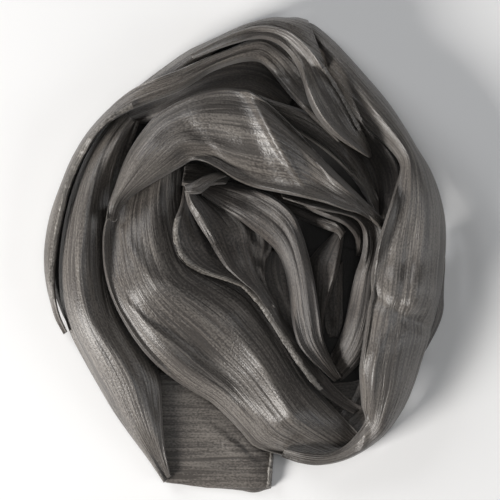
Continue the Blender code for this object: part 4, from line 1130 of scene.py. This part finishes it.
def make_core(core, material):
    """The hidden layers: folds at their edge, and the turned-in cloth that the hollows show, coloured
    near-black as painted shade.
    """
    rings = smooth_steps(smooth_steps(core, 4 * (len(core) - 1), 0), 7 * CORE_SPOKES, 1)
    middle = rings.mean(axis=(0, 1))
    outward = rings - middle
    outward[:, :, 2] = 0
    reach = np.linalg.norm(outward, axis=2)
    angle = np.arctan2(outward[:, :, 1], outward[:, :, 0]) % (2 * math.pi)
    relief = CORE_RELIEF * value_noise(angle * 6, reach / 2.4, 900)
    rings = rings + relief[:, :, None] * grid_normals(rings)
    rings[:, :, 2] = np.maximum(rings[:, :, 2], CORE_LOW)
    rings[0, :, 2] = CORE_LOW
    rings[:, -1] = rings[:, 0]
    centre = rings[-1].mean(axis=0)
    top = np.stack([rings[-1] * (1 - share) + centre * share for share in (0.5, 1.0)])
    foot = np.array((*middle[:2], CORE_LOW))
    base = np.stack([rings[0] * (1 - share) + foot * share for share in (1.0, 0.5)])
    grid = np.concatenate([base, rings, top])
    along = np.concatenate([angle[:1], angle[:1], angle, angle[-1:], angle[-1:]]) * 100
    across = np.concatenate([reach[:1] * 0, reach[:1] / 2, reach, reach[-1:] / 2, reach[-1:] * 0])
    piece = grid_object("hidden_layers_satin", grid, along, across, material)
    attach(piece, "root")
    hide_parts("hidden_layers")


# The soft lights, in metres and watts
Light = namedtuple("Light", "name location size power color")
LIGHTS = (
    Light("window", (-1.98, -1.16, 1.32), 0.90, 86, (1.0, 0.975, 0.945)),
    Light("far_side", (-1.50, 1.45, 1.20), 1.2, 22, (0.97, 0.98, 1.0)),
    Light("right_side", (2.0, -0.3, 1.25), 1.2, 13, (0.97, 0.98, 1.0)),
    Light("above", (0.15, 0.0, 2.2), 1.2, 4, (1.0, 0.99, 0.97)),
)
LIT_POINT = (0, 0, 0.02)


def area_light(name, location, size, power, color):
    light = bpy.data.lights.new(name, "AREA")
    light.shape = "SQUARE"
    light.size = size
    light.energy = power
    light.color = color
    obj = bpy.data.objects.new(name, light)
    bpy.context.scene.collection.objects.link(obj)
    obj.location = location
    away = np.array(location) - np.array(LIT_POINT)
    flat = math.hypot(away[0], away[1])
    obj.rotation_euler = (math.atan2(flat, away[2]), 0, math.atan2(away[1], away[0]) + math.pi / 2)


def make_stage():
    """A pale table, the camera straight above as in the photo, and a low window at the left and front."""
    scene = bpy.context.scene
    bpy.ops.mesh.primitive_plane_add(size=6)
    floor = bpy.context.object
    floor.name = "table"
    floor.data.materials.append(plain_material("pale_table", (0.93, 0.93, 0.93), 0.7))

    camera_data = bpy.data.cameras.new("camera")
    camera_data.sensor_width = SENSOR
    camera_data.lens = SENSOR * CAMERA_AWAY / FRAME_WIDE
    camera = bpy.data.objects.new("camera", camera_data)
    camera.location = (FRAME_CENTRE[0] * MM, FRAME_CENTRE[1] * MM, (CAMERA_AWAY + HEAP_MIDDLE) * MM)
    scene.collection.objects.link(camera)
    scene.camera = camera

    for light in LIGHTS:
        area_light(*light)
    world = bpy.data.worlds.new("studio")
    world.use_nodes = True
    background = world.node_tree.nodes["Background"]
    background.inputs["Color"].default_value = (0.9, 0.95, 1.0, 1)
    background.inputs["Strength"].default_value = 0.06
    scene.world = world
    scene.view_settings.view_transform = "Standard"
    scene.view_settings.look = "None"


def main():
    make_stage()
    satin = satin_material("taupe_satin", (0.172, 0.155, 0.138), (0.054, 0.047, 0.042), 0.43, 0.6)
    # A duller, browner and darker copy of the satin: duller and browner for the cloth's back side, darker
    # as painted shade in the hollows
    reverse_in_shade = satin_material("reverse_shaded_satin", (0.112, 0.097, 0.085), (0.036, 0.031, 0.028), 0.58, 0.6)
    # A lighter copy of the satin for the rolled hems: painted light where they stand up and catch the light
    lit_hem_satin = satin_material("lit_hem_satin", (0.25, 0.23, 0.205), (0.07, 0.062, 0.054), 0.5, 0.4)
    # A near-black copy of the satin for the hidden layers: painted shade in the hollows where they show
    hollow_shade_satin = satin_material("shaded_satin", (0.018, 0.016, 0.015), (0.010, 0.009, 0.008), 0.7)
    make_cloth(satin, reverse_in_shade, lit_hem_satin, hollow_shade_satin)


main()
